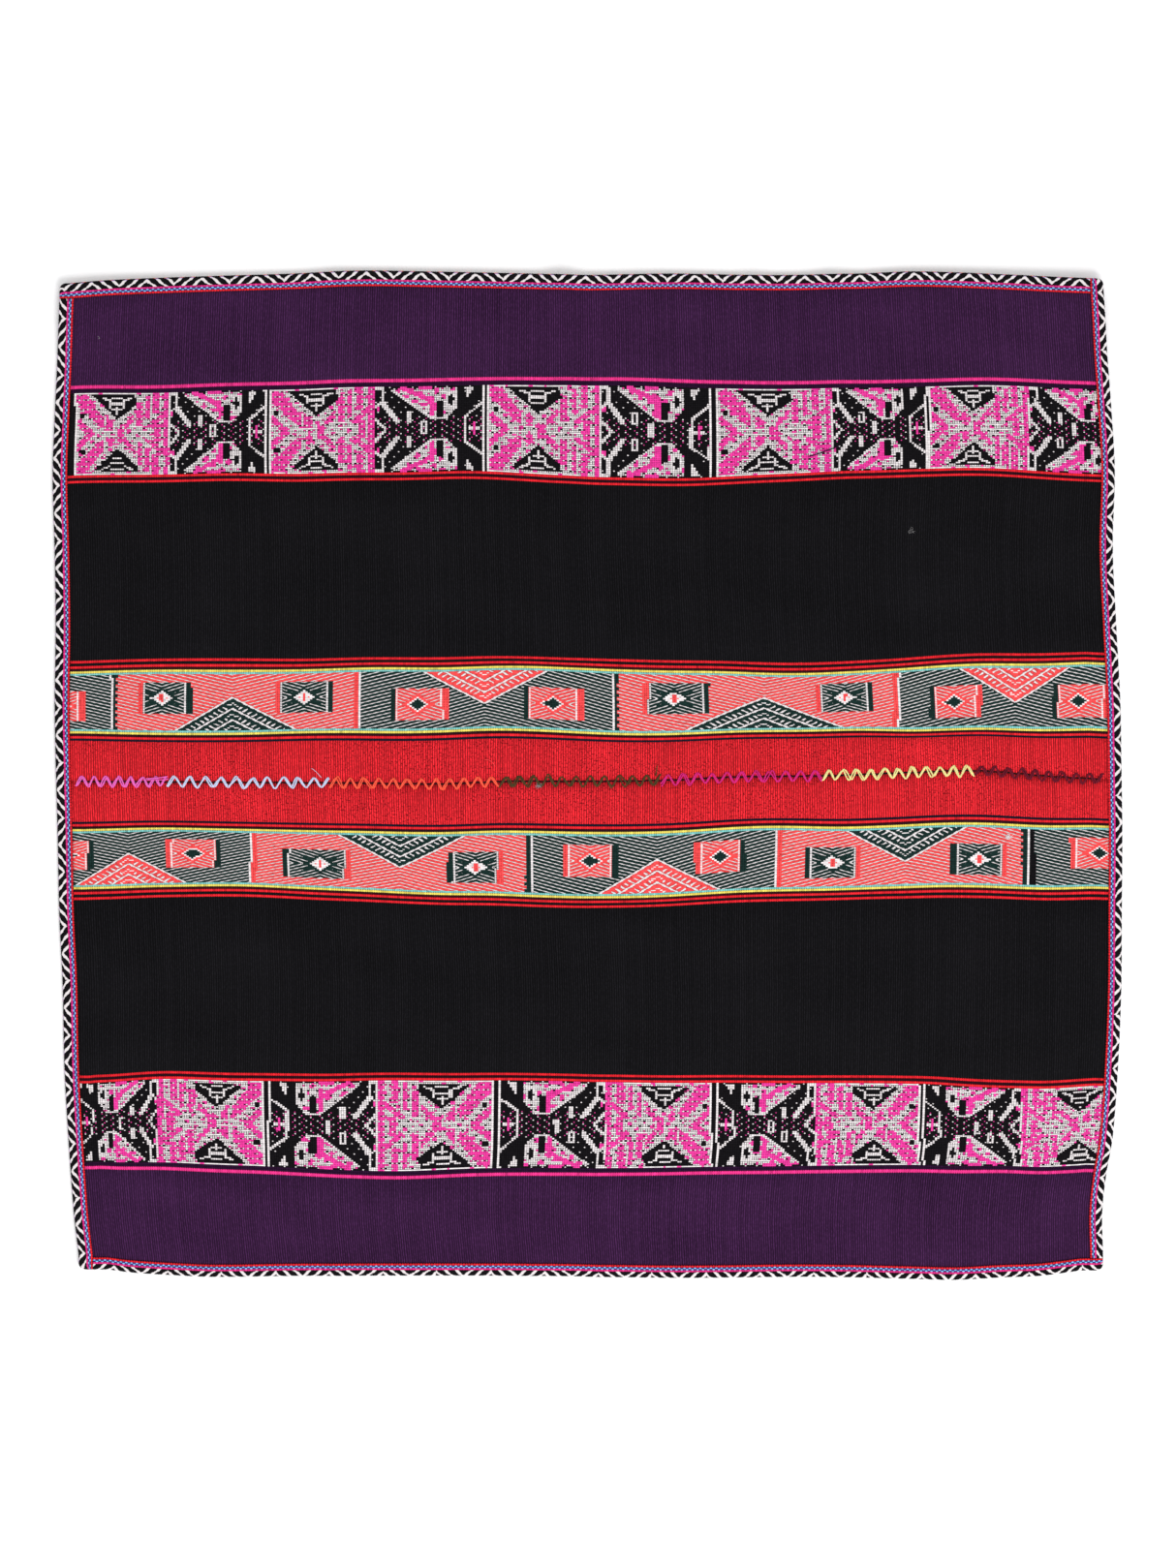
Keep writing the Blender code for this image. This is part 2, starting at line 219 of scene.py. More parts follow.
@dataclass(frozen=True)
class Lie:
    """How the cloth lies on the floor. Sizes are the part's own, in metres."""

    length: float = 1060 * MM
    width: float = 1000 * MM
    top_reach: float = 15.5 * MM
    right_reach: float = 13.5 * MM
    bottom_reach: float = 12.5 * MM
    left_reach: float = 14.8 * MM
    clearance: float = 0.3 * MM
    panel_rise: float = 1.5 * MM
    settle_length: float = 30 * MM
    rim_reach: float = 70 * MM
    layout_edge: float = 484.5  # millimetres from the seam, where the stripes stop wandering
    bow: float = 1.3 * MM  # how far a pick strays along the warp
    held_length: float = 60 * MM  # next to an end, where the edging holds the picks straight

    @property
    def half_length(self) -> float:
        """Half the nominal rectangle's length."""
        return self.length / 2

    @property
    def half_width(self) -> float:
        """Half the nominal rectangle's width."""
        return self.width / 2

    def outline(self, p: Array, q: Array) -> tuple[Array, Array]:
        """Draws nominal places in to the real outline.

        Args:
            p: Places along the warp.
            q: Places across it.

        Returns:
            The x and the y of each place, before the cloth is centred.
        """
        along = (p + self.half_length) / self.length
        across = np.abs(q) / self.half_width
        left = curve_through(LEFT_INSET, q / MM) * MM
        right = curve_through(RIGHT_INSET, q / MM) * MM
        top = curve_through(TOP_INSET, p / MM)
        bottom = curve_through(BOTTOM_INSET, p / MM)
        inset = np.where(q > 0, top, -bottom) * MM
        seam = curve_through(SEAM_LINE, p / MM) * MM
        x = p + (1 - along) * left - along * right
        y = q + (1 - across) * seam - across * inset
        return x, y

    @cached_property
    def middle(self) -> tuple[float, float]:
        """The middle of the outline's extents, which is the origin."""
        share = np.linspace(-1, 1, 401)
        p, q = share * self.half_length, share * self.half_width
        ends = [self.outline(s * self.half_length + 0 * share, q)[0] for s in (-1, 1)]
        sides = [self.outline(p, s * self.half_width + 0 * share)[1] for s in (-1, 1)]
        return (
            (min(map(np.min, ends)) + max(map(np.max, ends))) / 2,
            (min(map(np.min, sides)) + max(map(np.max, sides))) / 2,
        )

    def lift(self, p: Array, q: Array) -> Array:
        """The cloth's height over the floor, even across the width of the edging."""
        p = np.clip(p, self.left_reach - self.half_length, self.half_length - self.right_reach)
        q = np.clip(q, self.bottom_reach - self.half_width, self.half_width - self.top_reach)
        across = (q + self.half_width) / self.width
        height = np.zeros(np.broadcast(p, q).shape)
        for low_place, high_place, low, middle, high, reach in CREASES:
            place = low_place + (high_place - low_place) * across
            share = np.abs(p / MM - place) / reach
            crest = low + (middle - low) * ease(2 * across) + (high - middle) * ease(2 * across - 1)
            height += crest * (1 - ease(share)) * (1 - 0.35 * np.minimum(share, 1.0))
        upper = curve_through(RIM_LIFT, p / MM, 1)
        lower = curve_through(RIM_LIFT, p / MM, 2)
        reach = np.where(q > 0, self.top_reach, self.bottom_reach)
        inward = self.half_width - reach - np.abs(q)
        height += np.where(q > 0, upper, lower) * (1 - ease(inward / self.rim_reach))
        return height * MM

    def settle(self, p: Array, q: Array) -> Array:
        """How far a panel stands up because the edging's back lies under its rim."""
        ends = np.minimum(
            self.half_length + p - self.left_reach, self.half_length - p - self.right_reach
        )
        sides = np.minimum(
            self.half_width + q - self.bottom_reach, self.half_width - q - self.top_reach
        )
        inward = np.minimum(ends, sides) - self.clearance
        return self.panel_rise * (1 - ease(inward / self.settle_length))

    def wander(self, side: int, p: Array, off_seam: Array) -> Array:
        """How far the stripes stray away from the seam.

        Args:
            side: 1 for the upper panel, -1 for the lower.
            p: Places along the warp.
            off_seam: Distances from the seam.

        Returns:
            The shift of each place, in metres.
        """
        lines = UPPER_WANDER if side > 0 else LOWER_WANDER
        knots = np.array([0.0, *(line[0] for line in lines), self.layout_edge])
        shifts = [0 * p]
        for _, mean, strays in lines:
            shifts.append(mean + curve_through(tuple(zip(WANDER_PLACES, strays)), p / MM))
        shifts = np.array([*shifts, 0 * p])
        place = np.clip(off_seam / MM, knots[0], knots[-1])
        k = np.clip(np.searchsorted(knots, place, side="right") - 1, 0, len(knots) - 2)
        share = (place - knots[k]) / (knots[k + 1] - knots[k])
        index = np.arange(len(p))
        return ((1 - share) * shifts[k, index] + share * shifts[k + 1, index]) * MM

    def lay_panel(self, side: int, s: Array, off_seam: Array, z: Array) -> Array:
        """Lays down places of a panel.

        Args:
            side: 1 for the upper panel, -1 for the lower, which is turned end for end.
            s: Places along the panel's own warp.
            off_seam: Distances from the seam.
            z: Heights over the panel's underside.

        Returns:
            The place of each on the floor, one row each.
        """
        p = side * s
        q = side * (off_seam + self.wander(side, p, off_seam))
        held = ease((self.half_length - np.abs(p)) / self.held_length)
        waves = np.sin(q / 0.061 + 2 * np.sin(p / 0.23)) + 0.6 * np.sin(q / 0.137 + p / 0.11)
        x, y = self.outline(p + self.bow * held * waves, q)
        height = z + self.lift(p, q) + self.settle(p, q)
        return np.column_stack((x - self.middle[0], y - self.middle[1], height))

    def lay_edging(self, p: Array, q: Array, z: Array) -> Array:
        """Lays down places of the edging, where z is the height over its own underside."""
        x, y = self.outline(p, q)
        return np.column_stack((x - self.middle[0], y - self.middle[1], z + self.lift(p, q)))


# Mesh making


def cell_grid(name: str, columns: int, rows: int, raised: bool, thick: bool) -> bpy.types.Mesh:
    """Makes a grid of cells whose places are still its grid coordinates.

    Args:
        name: The mesh's name.
        columns: Cells along x.
        rows: Cells along y.
        raised: Whether each cell gets a middle vertex.
        thick: Whether the grid is closed, with z from 0 below to 1 above.

    Returns:
        The mesh.
    """
    grid = bmesh.new()
    bmesh.ops.create_grid(grid, x_segments=columns, y_segments=rows, size=0.5)
    bmesh.ops.translate(grid, verts=grid.verts, vec=(0.5, 0.5, 0.0))
    bmesh.ops.scale(grid, verts=grid.verts, vec=(columns, rows, 1.0))
    if raised:
        bmesh.ops.poke(grid, faces=grid.faces[:])
    if thick:
        top = bmesh.ops.extrude_face_region(grid, geom=grid.faces[:])["geom"]
        top_verts = [part for part in top if isinstance(part, bmesh.types.BMVert)]
        bmesh.ops.translate(grid, verts=top_verts, vec=(0, 0, 1))
        bmesh.ops.recalc_face_normals(grid, faces=grid.faces)
    mesh = bpy.data.meshes.new(name)
    grid.to_mesh(mesh)
    grid.free()
    return mesh


def close_up(mesh: bpy.types.Mesh) -> None:
    """Joins a tube's two coinciding borders, fills its ends and turns its faces outwards."""
    tube = bmesh.new()
    tube.from_mesh(mesh)
    rims = [vert for vert in tube.verts if vert.is_boundary]
    bmesh.ops.remove_doubles(tube, verts=rims, dist=1e-6)
    bmesh.ops.holes_fill(tube, edges=[edge for edge in tube.edges if edge.is_boundary], sides=0)
    bmesh.ops.recalc_face_normals(tube, faces=tube.faces)
    tube.to_mesh(mesh)
    tube.free()


class GridMesh:
    """A grid of cells, with what is known of each vertex, face and corner while it is flat."""

    near = 0.25  # how close a grid coordinate is to what it is compared with

    def __init__(
        self, name: str, columns: int, rows: int, raised: bool = True, thick: bool = False
    ) -> None:
        """Makes the grid.

        Args:
            name: The mesh's name.
            columns: Cells along x.
            rows: Cells along y.
            raised: Whether each cell gets a middle vertex.
            thick: Whether the grid is closed.
        """
        self.columns, self.rows = columns, rows
        self.mesh = cell_grid(name, columns, rows, raised, thick)
        places = np.empty(len(self.mesh.vertices) * 3)
        self.mesh.vertices.foreach_get("co", places)
        self.grid = places.reshape(-1, 3)
        centres = np.empty(len(self.mesh.polygons) * 3)
        self.mesh.polygons.foreach_get("center", centres)
        self.face_centres = centres.reshape(-1, 3)
        self.corner_counts = np.empty(len(self.mesh.polygons), np.int64)
        self.mesh.polygons.foreach_get("loop_total", self.corner_counts)
        self.corner_vertices = np.empty(len(self.mesh.loops), np.int64)
        self.mesh.loops.foreach_get("vertex_index", self.corner_vertices)

    @property
    def in_middle(self) -> Array:
        """Whether each vertex is the raised middle of a cell."""
        return np.abs(self.grid[:, 0] % 1 - 0.5) < self.near

    @property
    def on_border(self) -> Array:
        """Whether each vertex is on the grid's border."""
        x, y = self.grid[:, 0], self.grid[:, 1]
        low = (x < self.near) | (y < self.near)
        return low | (x > self.columns - self.near) | (y > self.rows - self.near)

    @property
    def cells(self) -> Array:
        """The number of each face's cell, row by row."""
        column = np.clip(np.floor(self.face_centres[:, 0]), 0, self.columns - 1)
        row = np.clip(np.floor(self.face_centres[:, 1]), 0, self.rows - 1)
        return (row * self.columns + column).astype(np.int64)

    def cell_middles(self) -> tuple[Array, Array]:
        """The grid coordinates of every cell's middle, row by row."""
        column, row = np.meshgrid(np.arange(self.columns) + 0.5, np.arange(self.rows) + 0.5)
        return column.ravel(), row.ravel()

    def set_map(self, name: str, u: Array, v: Array) -> None:
        """Adds a UV map, with one u and v for each corner."""
        layer = self.mesh.uv_layers.new(name=name)
        layer.data.foreach_set("uv", np.column_stack((u, v)).astype(np.float32).ravel())

    def map_corners(self, name: str, u: Array, v: Array) -> None:
        """Adds a UV map from one u and v for each vertex."""
        self.set_map(name, u[self.corner_vertices], v[self.corner_vertices])

    def map_for_bake(self, folds: int) -> None:
        """Adds the map named OFBake, with a long strip folded into stacked rows.

        Args:
            folds: How many rows the strip is folded into.
        """
        per_fold = math.ceil(self.columns / folds)
        fold = np.floor(np.repeat(self.face_centres[:, 0], self.corner_counts) / per_fold)
        u = self.grid[self.corner_vertices, 0] / per_fold - fold
        v = self.grid[self.corner_vertices, 1] / self.rows
        above = self.grid[self.corner_vertices, 2]
        share = (fold + 0.01 + 0.98 * v) / folds
        if above.max() > 0.5:
            top = np.repeat(self.face_centres[:, 2] > 0.5, self.corner_counts)
            share = (share + top) / 2
        self.set_map("OFBake", 0.002 + 0.996 * u, share)

    def colour(self, floats: Array, beside: Array) -> None:
        """Adds the colour attributes, each from one row of four values for each cell."""
        for name, colours in (("Yarn", floats), ("Beside", beside)):
            layer = self.mesh.color_attributes.new(name, "FLOAT_COLOR", "CORNER")
            values = np.repeat(colours[self.cells], self.corner_counts, axis=0)
            layer.data.foreach_set("color", values.astype(np.float32).ravel())

    def place(self, places: Array) -> None:
        """Moves every vertex to its real place."""
        self.mesh.vertices.foreach_set("co", places.astype(np.float32).ravel())
        self.mesh.update()


def finish_piece(
    mesh: bpy.types.Mesh, material: bpy.types.Material, replaces: Sequence[str] = ()
) -> bpy.types.Object:
    """Makes an object of a mesh, gives it its finish and lets it ride on the cloth.

    Args:
        mesh: The finished mesh, in its real place.
        material: Its finish.
        replaces: The CAD nodes that it stands for.

    Returns:
        The object.
    """
    mesh.shade_smooth()
    mesh.materials.append(material)
    piece = bpy.data.objects.new(mesh.name, mesh)
    bpy.context.scene.collection.objects.link(piece)
    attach(piece, "root")
    if replaces:
        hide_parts(*replaces)
    LOG.info("%s: %d faces", piece.name, len(mesh.polygons))
    return piece


# Charts of the woven figures


@dataclass(frozen=True)
class Ruling:
    """Slanted white lines in some cells, as a phase that grows by 1 from line to line."""

    x: float  # where the lines bend, in millimetres
    per_step: float  # growth of the phase for each pick away from there
    row: float  # the row where the lines bend
    per_row: float
    thickness: float  # half a line's, as a share of the phase
    shift: float = 0.0
    pick: float = PICK_PITCH

    @property
    def numbers(self) -> tuple[float, ...]:
        """The numbers kept for each cell."""
        per_x = self.per_step / self.pick
        return (self.x, per_x, self.row, self.per_row, self.thickness, self.shift)


class CellColours:
    """The yarn that shows in each cell, how much of the cell it fills and what shows beside it."""

    gap_shade = 0.2  # painted shade between floats of one yarn, as a brightness
    low = 0.8  # painted shade on another yarn that shows between the floats, as a brightness
    unevenness = 0.12  # how much a yarn's brightness varies from cell to cell

    def __init__(self, count: int, ground: Yarn) -> None:
        """Starts with every cell in the ground's yarn."""
        self.yarn = np.full(count, ground.number)
        self.under = np.full(count, -1)
        self.fill = np.ones(count)
        self.joined = np.zeros(count)
        self.ruling = np.zeros((count, 6))

    def paint(
        self,
        where: Array,
        yarn: Yarn,
        fill: float = 1.0,
        under: Yarn | None = None,
        joined: bool = False,
    ) -> None:
        """Lets a yarn show in some of the cells.

        Args:
            where: True in the cells to change.
            yarn: The yarn that shows there.
            fill: How much of each cell it fills.
            under: The yarn beside it, or None for a shaded gap.
            joined: Whether the float runs on from pick to pick.
        """
        self.yarn[where] = yarn.number
        self.fill[where] = fill
        self.under[where] = -1 if under is None else under.number
        self.joined[where] = float(joined)
        self.ruling[where] = 0.0

    def rule(self, where: Array, yarn: Yarn, ruling: Ruling) -> None:
        """Lets slanted white lines run through a yarn in some of the cells."""
        self.paint(where, yarn, 1.0, Yarn.WHITE, True)
        self.ruling[where] = ruling.numbers

    def line_map(self, cells: Array, x: Array, row: Array) -> tuple[Array, Array]:
        """The lines' phase and thickness at places in the cells.

        Args:
            cells: The number of each place's cell.
            x: Each place along the panel, in millimetres.
            row: Each place across the band, in rows from its outer side.

        Returns:
            The phase, and half the thickness as a share of it, or 0 where there are no lines.
        """
        bend_x, per_x, bend_row, per_row, thickness, shift = self.ruling[cells].T
        return per_x * np.abs(x - bend_x) + per_row * np.abs(row - bend_row) + shift, thickness

    def values(self, seed: int) -> tuple[Array, Array]:
        """The cells' colours.

        Args:
            seed: Sets how the yarns' brightness varies.

        Returns:
            The float's colour and fill, and the colour beside it and whether floats join, with
            one row of four values for each cell.
        """
        palette = np.array([yarn.linear for yarn in Yarn])
        varied = 1 + self.unevenness * np.random.default_rng(seed).normal(size=len(self.yarn))
        floats = palette[self.yarn] * np.clip(varied, 0.4, 1.7)[:, None]
        # Painted shade between the floats: the gap of one yarn is made much darker, and another
        # yarn beside them a little darker, except under slanted lines
        share = np.where(self.ruling[:, 4] > 0, 1.0, self.low)[:, None]
        other = palette[self.under] * share
        beside = np.where((self.under < 0)[:, None], floats * self.gap_shade, other)
        return np.column_stack((floats, self.fill)), np.column_stack((beside, self.joined))


@dataclass(frozen=True)
class Patch:
    """A filled outline in a block's chart, in percent of the block's width and height."""

    yarn: Yarn | None  # None for a mottle of white and pink
    corners: tuple[tuple[float, float], ...]
    mirrored: bool = True

    def covers(self, x: Array, y: Array) -> Array:
        """Whether each place is inside the outline, or its mirror image."""
        inside = self._inside(x, y)
        return inside | self._inside(x, -y) if self.mirrored else inside

    def _inside(self, x: Array, y: Array) -> Array:
        """Whether each place is inside the outline."""
        inside = np.zeros(x.shape, bool)
        for (ax, ay), (bx, by) in zip(self.corners, (*self.corners[1:], self.corners[0])):
            if ay != by:
                crossing = ax + (y - ay) * (bx - ax) / (by - ay)
                inside ^= ((ay > y) != (by > y)) & (x < crossing)
        return inside


@dataclass(frozen=True)
class Stroke:
    """A line of some width in a block's chart, in percent of the block's width and height."""

    yarn: Yarn
    points: tuple[tuple[float, float], ...]
    width: float
    mirrored: bool = True

    def covers(self, x: Array, y: Array) -> Array:
        """Whether each place is on the line, or on its mirror image."""
        on_line = self._near(x, y)
        return on_line | self._near(x, -y) if self.mirrored else on_line

    def _near(self, x: Array, y: Array) -> Array:
        """Whether each place is within half the width of the line."""
        near = np.zeros(x.shape, bool)
        for (ax, ay), (bx, by) in zip(self.points, self.points[1:]):
            dx, dy = bx - ax, by - ay
            share = np.clip(((x - ax) * dx + (y - ay) * dy) / (dx * dx + dy * dy), 0, 1)
            near |= np.hypot(x - ax - share * dx, y - ay - share * dy) < self.width / 2
        return near


def bar(
    yarn: Yarn, left: float, right: float, top: float, bottom: float, mirrored: bool = True
) -> Patch:
    """An upright rectangle of a block's chart."""
    return Patch(yarn, ((left, top), (right, top), (right, bottom), (left, bottom)), mirrored)


def bow(middle: float, foot: float, top: float) -> tuple[Stroke, ...]:
    """The small white bow that stands in a dark triangle.

    Args:
        middle: The bow's place along the block, in percent.
        foot: The low end of its stem.
        top: The place of its wings, on the stem's other end.

    Returns:
        Its lines.
    """
    reach = top - foot
    low, bar_level, hip, waist, shoulder, high = (
        foot + reach * share for share in (0.0, 0.28, 0.42, 0.62, 0.85, 1.0)
    )
    # Columns: a line's ends, each as its distance off the middle and its level, and its width
    lines = (
        (0, low, 0, hip, 1.6),
        (-4.5, bar_level, 4.5, bar_level, 1.8),
        (-7.5, waist, 7.5, waist, 2.4),
        (-7.5, shoulder, -7.5, hip, 2.2),
        (7.5, shoulder, 7.5, hip, 2.2),
        (-16, high, -9, shoulder, 2.2),
        (16, high, 9, shoulder, 2.2),
        (-5.5, high, 5.5, high, 1.8),
    )
    return tuple(
        Stroke(Yarn.WHITE, ((middle + ax, ay), (middle + bx, by)), width, False)
        for ax, ay, bx, by, width in lines
    )


PINK_BLOCK = (
    Patch(Yarn.PINK, ((0, -49), (10, -49), (29, -19), (29, -7), (22, -10), (10, -25), (0, -35))),
    Patch(Yarn.PINK, ((32.5, -21), (40, -13), (40, -3.5), (32.5, -4))),
    bar(Yarn.PINK, 44, 52, -8, 9, False),
    Patch(Yarn.PINK, ((51, -11), (62, -25), (62, -16), (51, -3))),
    bar(Yarn.PINK, 65, 71, -38, -10),
    bar(Yarn.PINK, 74, 79, -47, -18),
    bar(Yarn.PINK, 82, 89, -50, -25),
    bar(Yarn.PINK, 84, 91, -12, 9, False),
    Stroke(Yarn.PINK, ((80, -10), (98, -27)), 6),
    bar(Yarn.PINK, 95, 100, -50, 50, False),
    Stroke(Yarn.PINK, ((0, -16), (15, 0), (0, 17)), 7, False),
    bar(Yarn.BLACK, 3, 8, -25, -19),
    Patch(Yarn.BLACK, ((15.5, -48), (43.5, -18), (66, -36), (62, -48)), False),
    Patch(Yarn.BLACK, ((18, 45), (44, 17.5), (65, 39), (65, 46)), False),
    *bow(43.5, -24, -44),
    *bow(43.5, 24, 43),
)
BLACK_BLOCK = (
    bar(Yarn.WHITE, 0, 1.6, -50, 50, False),
    bar(Yarn.PINK, 2, 5, -27, -22),
    Stroke(Yarn.WHITE, ((0, -13), (11, 0), (0, 15)), 2.8, False),
    Stroke(Yarn.WHITE, ((8, -31), (21, -10)), 5),
    Stroke(Yarn.WHITE, ((0, -48), (8, -48), (8, -32), (0, -25)), 2.4),
    Patch(None, ((17, -49), (17, -46), (53, -12), (66, -12), (76, -25), (78, -49))),
    Stroke(Yarn.WHITE, ((17, -46), (53, -12.5), (66, -12)), 2.0),
    Stroke(Yarn.PINK, ((27, -48), (46, -37), (56, -27)), 5),
    Stroke(Yarn.PINK, ((42, -48), (52, -48)), 4),
    bar(Yarn.PINK, 50.5, 55, -39, -15),
    bar(Yarn.BLACK, 56.5, 63, -32, -12.5),
    bar(Yarn.WHITE, 65, 75, -44, -24),
    Patch(Yarn.BLACK, ((66.5, -34), (70, -42), (73.5, -34), (70, -26))),
    bar(Yarn.BLACK, 76, 82, -50, -22),
    Stroke(Yarn.WHITE, ((30.5, -20), (33.5, -20), (33.5, -9), (30.5, -9), (30.5, -20)), 2.2),
    Stroke(Yarn.WHITE, ((44, -9), (47.5, -9), (47.5, 5), (44, 5), (44, -9)), 2.2, False),
    Stroke(Yarn.WHITE, ((98, -29), (83, -14), (83, 16), (98, 29)), 2.4, False),
    Stroke(Yarn.WHITE, ((88, 0), (94, 0)), 4.5, False),
    Stroke(Yarn.PINK, ((91, -7), (91, 7)), 2.4, False),
    Patch(Yarn.WHITE, ((83, -48), (91, -48), (84, -34))),
    Stroke(Yarn.BLACK, ((99, -46), (78, -20)), 9),
)


@dataclass(frozen=True)
class PinkFigures:
    """The pink band's figures: pink and black blocks in turn, along one panel."""

    rows: int
    # Columns: a pink block's start, its end, the end of the black block after it. Millimetres
    # along the panel's own warp.
    pairs: tuple[tuple[float, float, float], ...]
    pick: float = PICK_PITCH
    ground_spread: float = 1.2  # above it the drift is pink: the greater, the less pink
    mottle_spread: float = 0.75
    waist: float = 8  # rows to each side of the middle where the black ground is closely dashed

    def paint(self, cells: CellColours, here: Array, x: Array, pick: Array, row: Array) -> None:
        """Paints the figures.

        Args:
            cells: The cells to paint.
            here: True in the cells of this band.
            x: Each cell's place along the panel, in millimetres.
            pick: Each cell's number along the panel.
            row: Each cell's number across the band, from its outer side.
        """
        y = ((row + 0.5) / self.rows - 0.5) * 100
        cells.paint(here, Yarn.BLACK)
        for start, change, end in self.pairs:
            pink = here & (x >= start) & (x < change)
            black = here & (x >= change) & (x < end)
            self._ground(cells, pink, black, pick, row)
            for shapes, block, low, high in (
                (PINK_BLOCK, pink, start, change), (BLACK_BLOCK, black, change, end),
            ):
                self._block(cells, shapes, block, (x - low) / (high - low) * 100, y, pick, row)
            self._dots(cells, pink, pick, row)
            for line in (start - 0.4 * self.pick, end - 0.2 * self.pick):
                cells.paint(here & (np.abs(x - line) < 0.5 * self.pick), Yarn.WHITE)

    def _ground(
        self, cells: CellColours, pink: Array, black: Array, pick: Array, row: Array
    ) -> None:
        """Paints the two kinds of ground: white with some pink, and black with dashes."""
        self._mottle(cells, pink, pick, row, self.ground_spread)
        waist = np.abs(row - self.rows / 2) < self.waist
        dash = (row % 2 == 0) & ((pick + (row // 2) % 2 * 2) % 5 == 0)
        sparse = (row % 3 == 0) & ((pick + row // 3 * 2) % 5 == 0)
        cells.paint(black & np.where(waist, dash, sparse), Yarn.WHITE, 0.66, Yarn.BLACK)
        thin = (row % 2 == 1) & ((pick + (row // 2) % 2 * 3) % 4 == 0)
        cells.paint(black & waist & thin, Yarn.PINK, 0.55, Yarn.BLACK)

    def _mottle(
        self, cells: CellColours, where: Array, pick: Array, row: Array, spread: float
    ) -> None:
        """Paints white ovals with dark gaps, among them pink ones and dark or pink dots."""
        bend = 1.3 * np.sin(row * 0.3)
        drift = np.sin(pick * 1.1 + row * 0.72) + np.sin(pick * 0.74 - row * 0.95 + bend)
        eye = (row % 3 == 1) & ((pick + row // 3 % 2 * 2) % 4 == 0)
        cells.paint(where, Yarn.WHITE, 0.8, Yarn.BLACK)
        cells.paint(where & (row % 3 == 0), Yarn.WHITE, 0.76, Yarn.BLACK, True)
        cells.paint(where & (drift > spread), Yarn.PINK, 0.97)
        cells.paint(where & eye, Yarn.BLACK)
        cells.paint(where & eye & (drift < -0.2), Yarn.PINK, 0.8, Yarn.BLACK)

    def _block(
        self,
        cells: CellColours,
        shapes: Sequence[Patch | Stroke],
        here: Array,
        x: Array,
        y: Array,
        pick: Array,
        row: Array,
    ) -> None:
        """Paints a block's shapes, in percent of its width and height."""
        for shape in shapes:
            where = here & shape.covers(x, y)
            if shape.yarn is None:
                self._mottle(cells, where, pick, row, self.mottle_spread)
            else:
                cells.paint(where, shape.yarn, 0.9 if shape.yarn is Yarn.WHITE else 1.0)

    def _dots(self, cells: CellColours, pink: Array, pick: Array, row: Array) -> None:
        """Lets white and dark dots show in the solid pink."""
        solid = pink & (cells.yarn == Yarn.PINK.number) & (cells.under < 0)
        turned = (pick + row // 3 % 2 * 2) % 4
        cells.paint(solid & (turned == 1) & (row % 3 == 1), Yarn.WHITE, 0.72, Yarn.BLACK)
        cells.paint(solid & (turned == 2) & (row % 3 == 1), Yarn.BLACK, 0.85, Yarn.PINK)
        cells.paint(solid & (turned == 3) & (row % 6 == 4), Yarn.WHITE, 0.85, Yarn.BLACK)


class Ground(Enum):
    """The ground colour of a block of the coral band."""

    GREEN = Yarn.PINE
    CORAL = Yarn.CORAL


@dataclass(frozen=True)
class CoralBlock:
    """One block of the coral band, in millimetres along the panel's own warp."""

    ground: Ground
    start: float
    end: float
    first: tuple[float, float, float]  # a rectangle's start and end, and its eye
    second: tuple[float, float, float]
    triangle: tuple[float, float, float]  # its base's start and end, and its apex


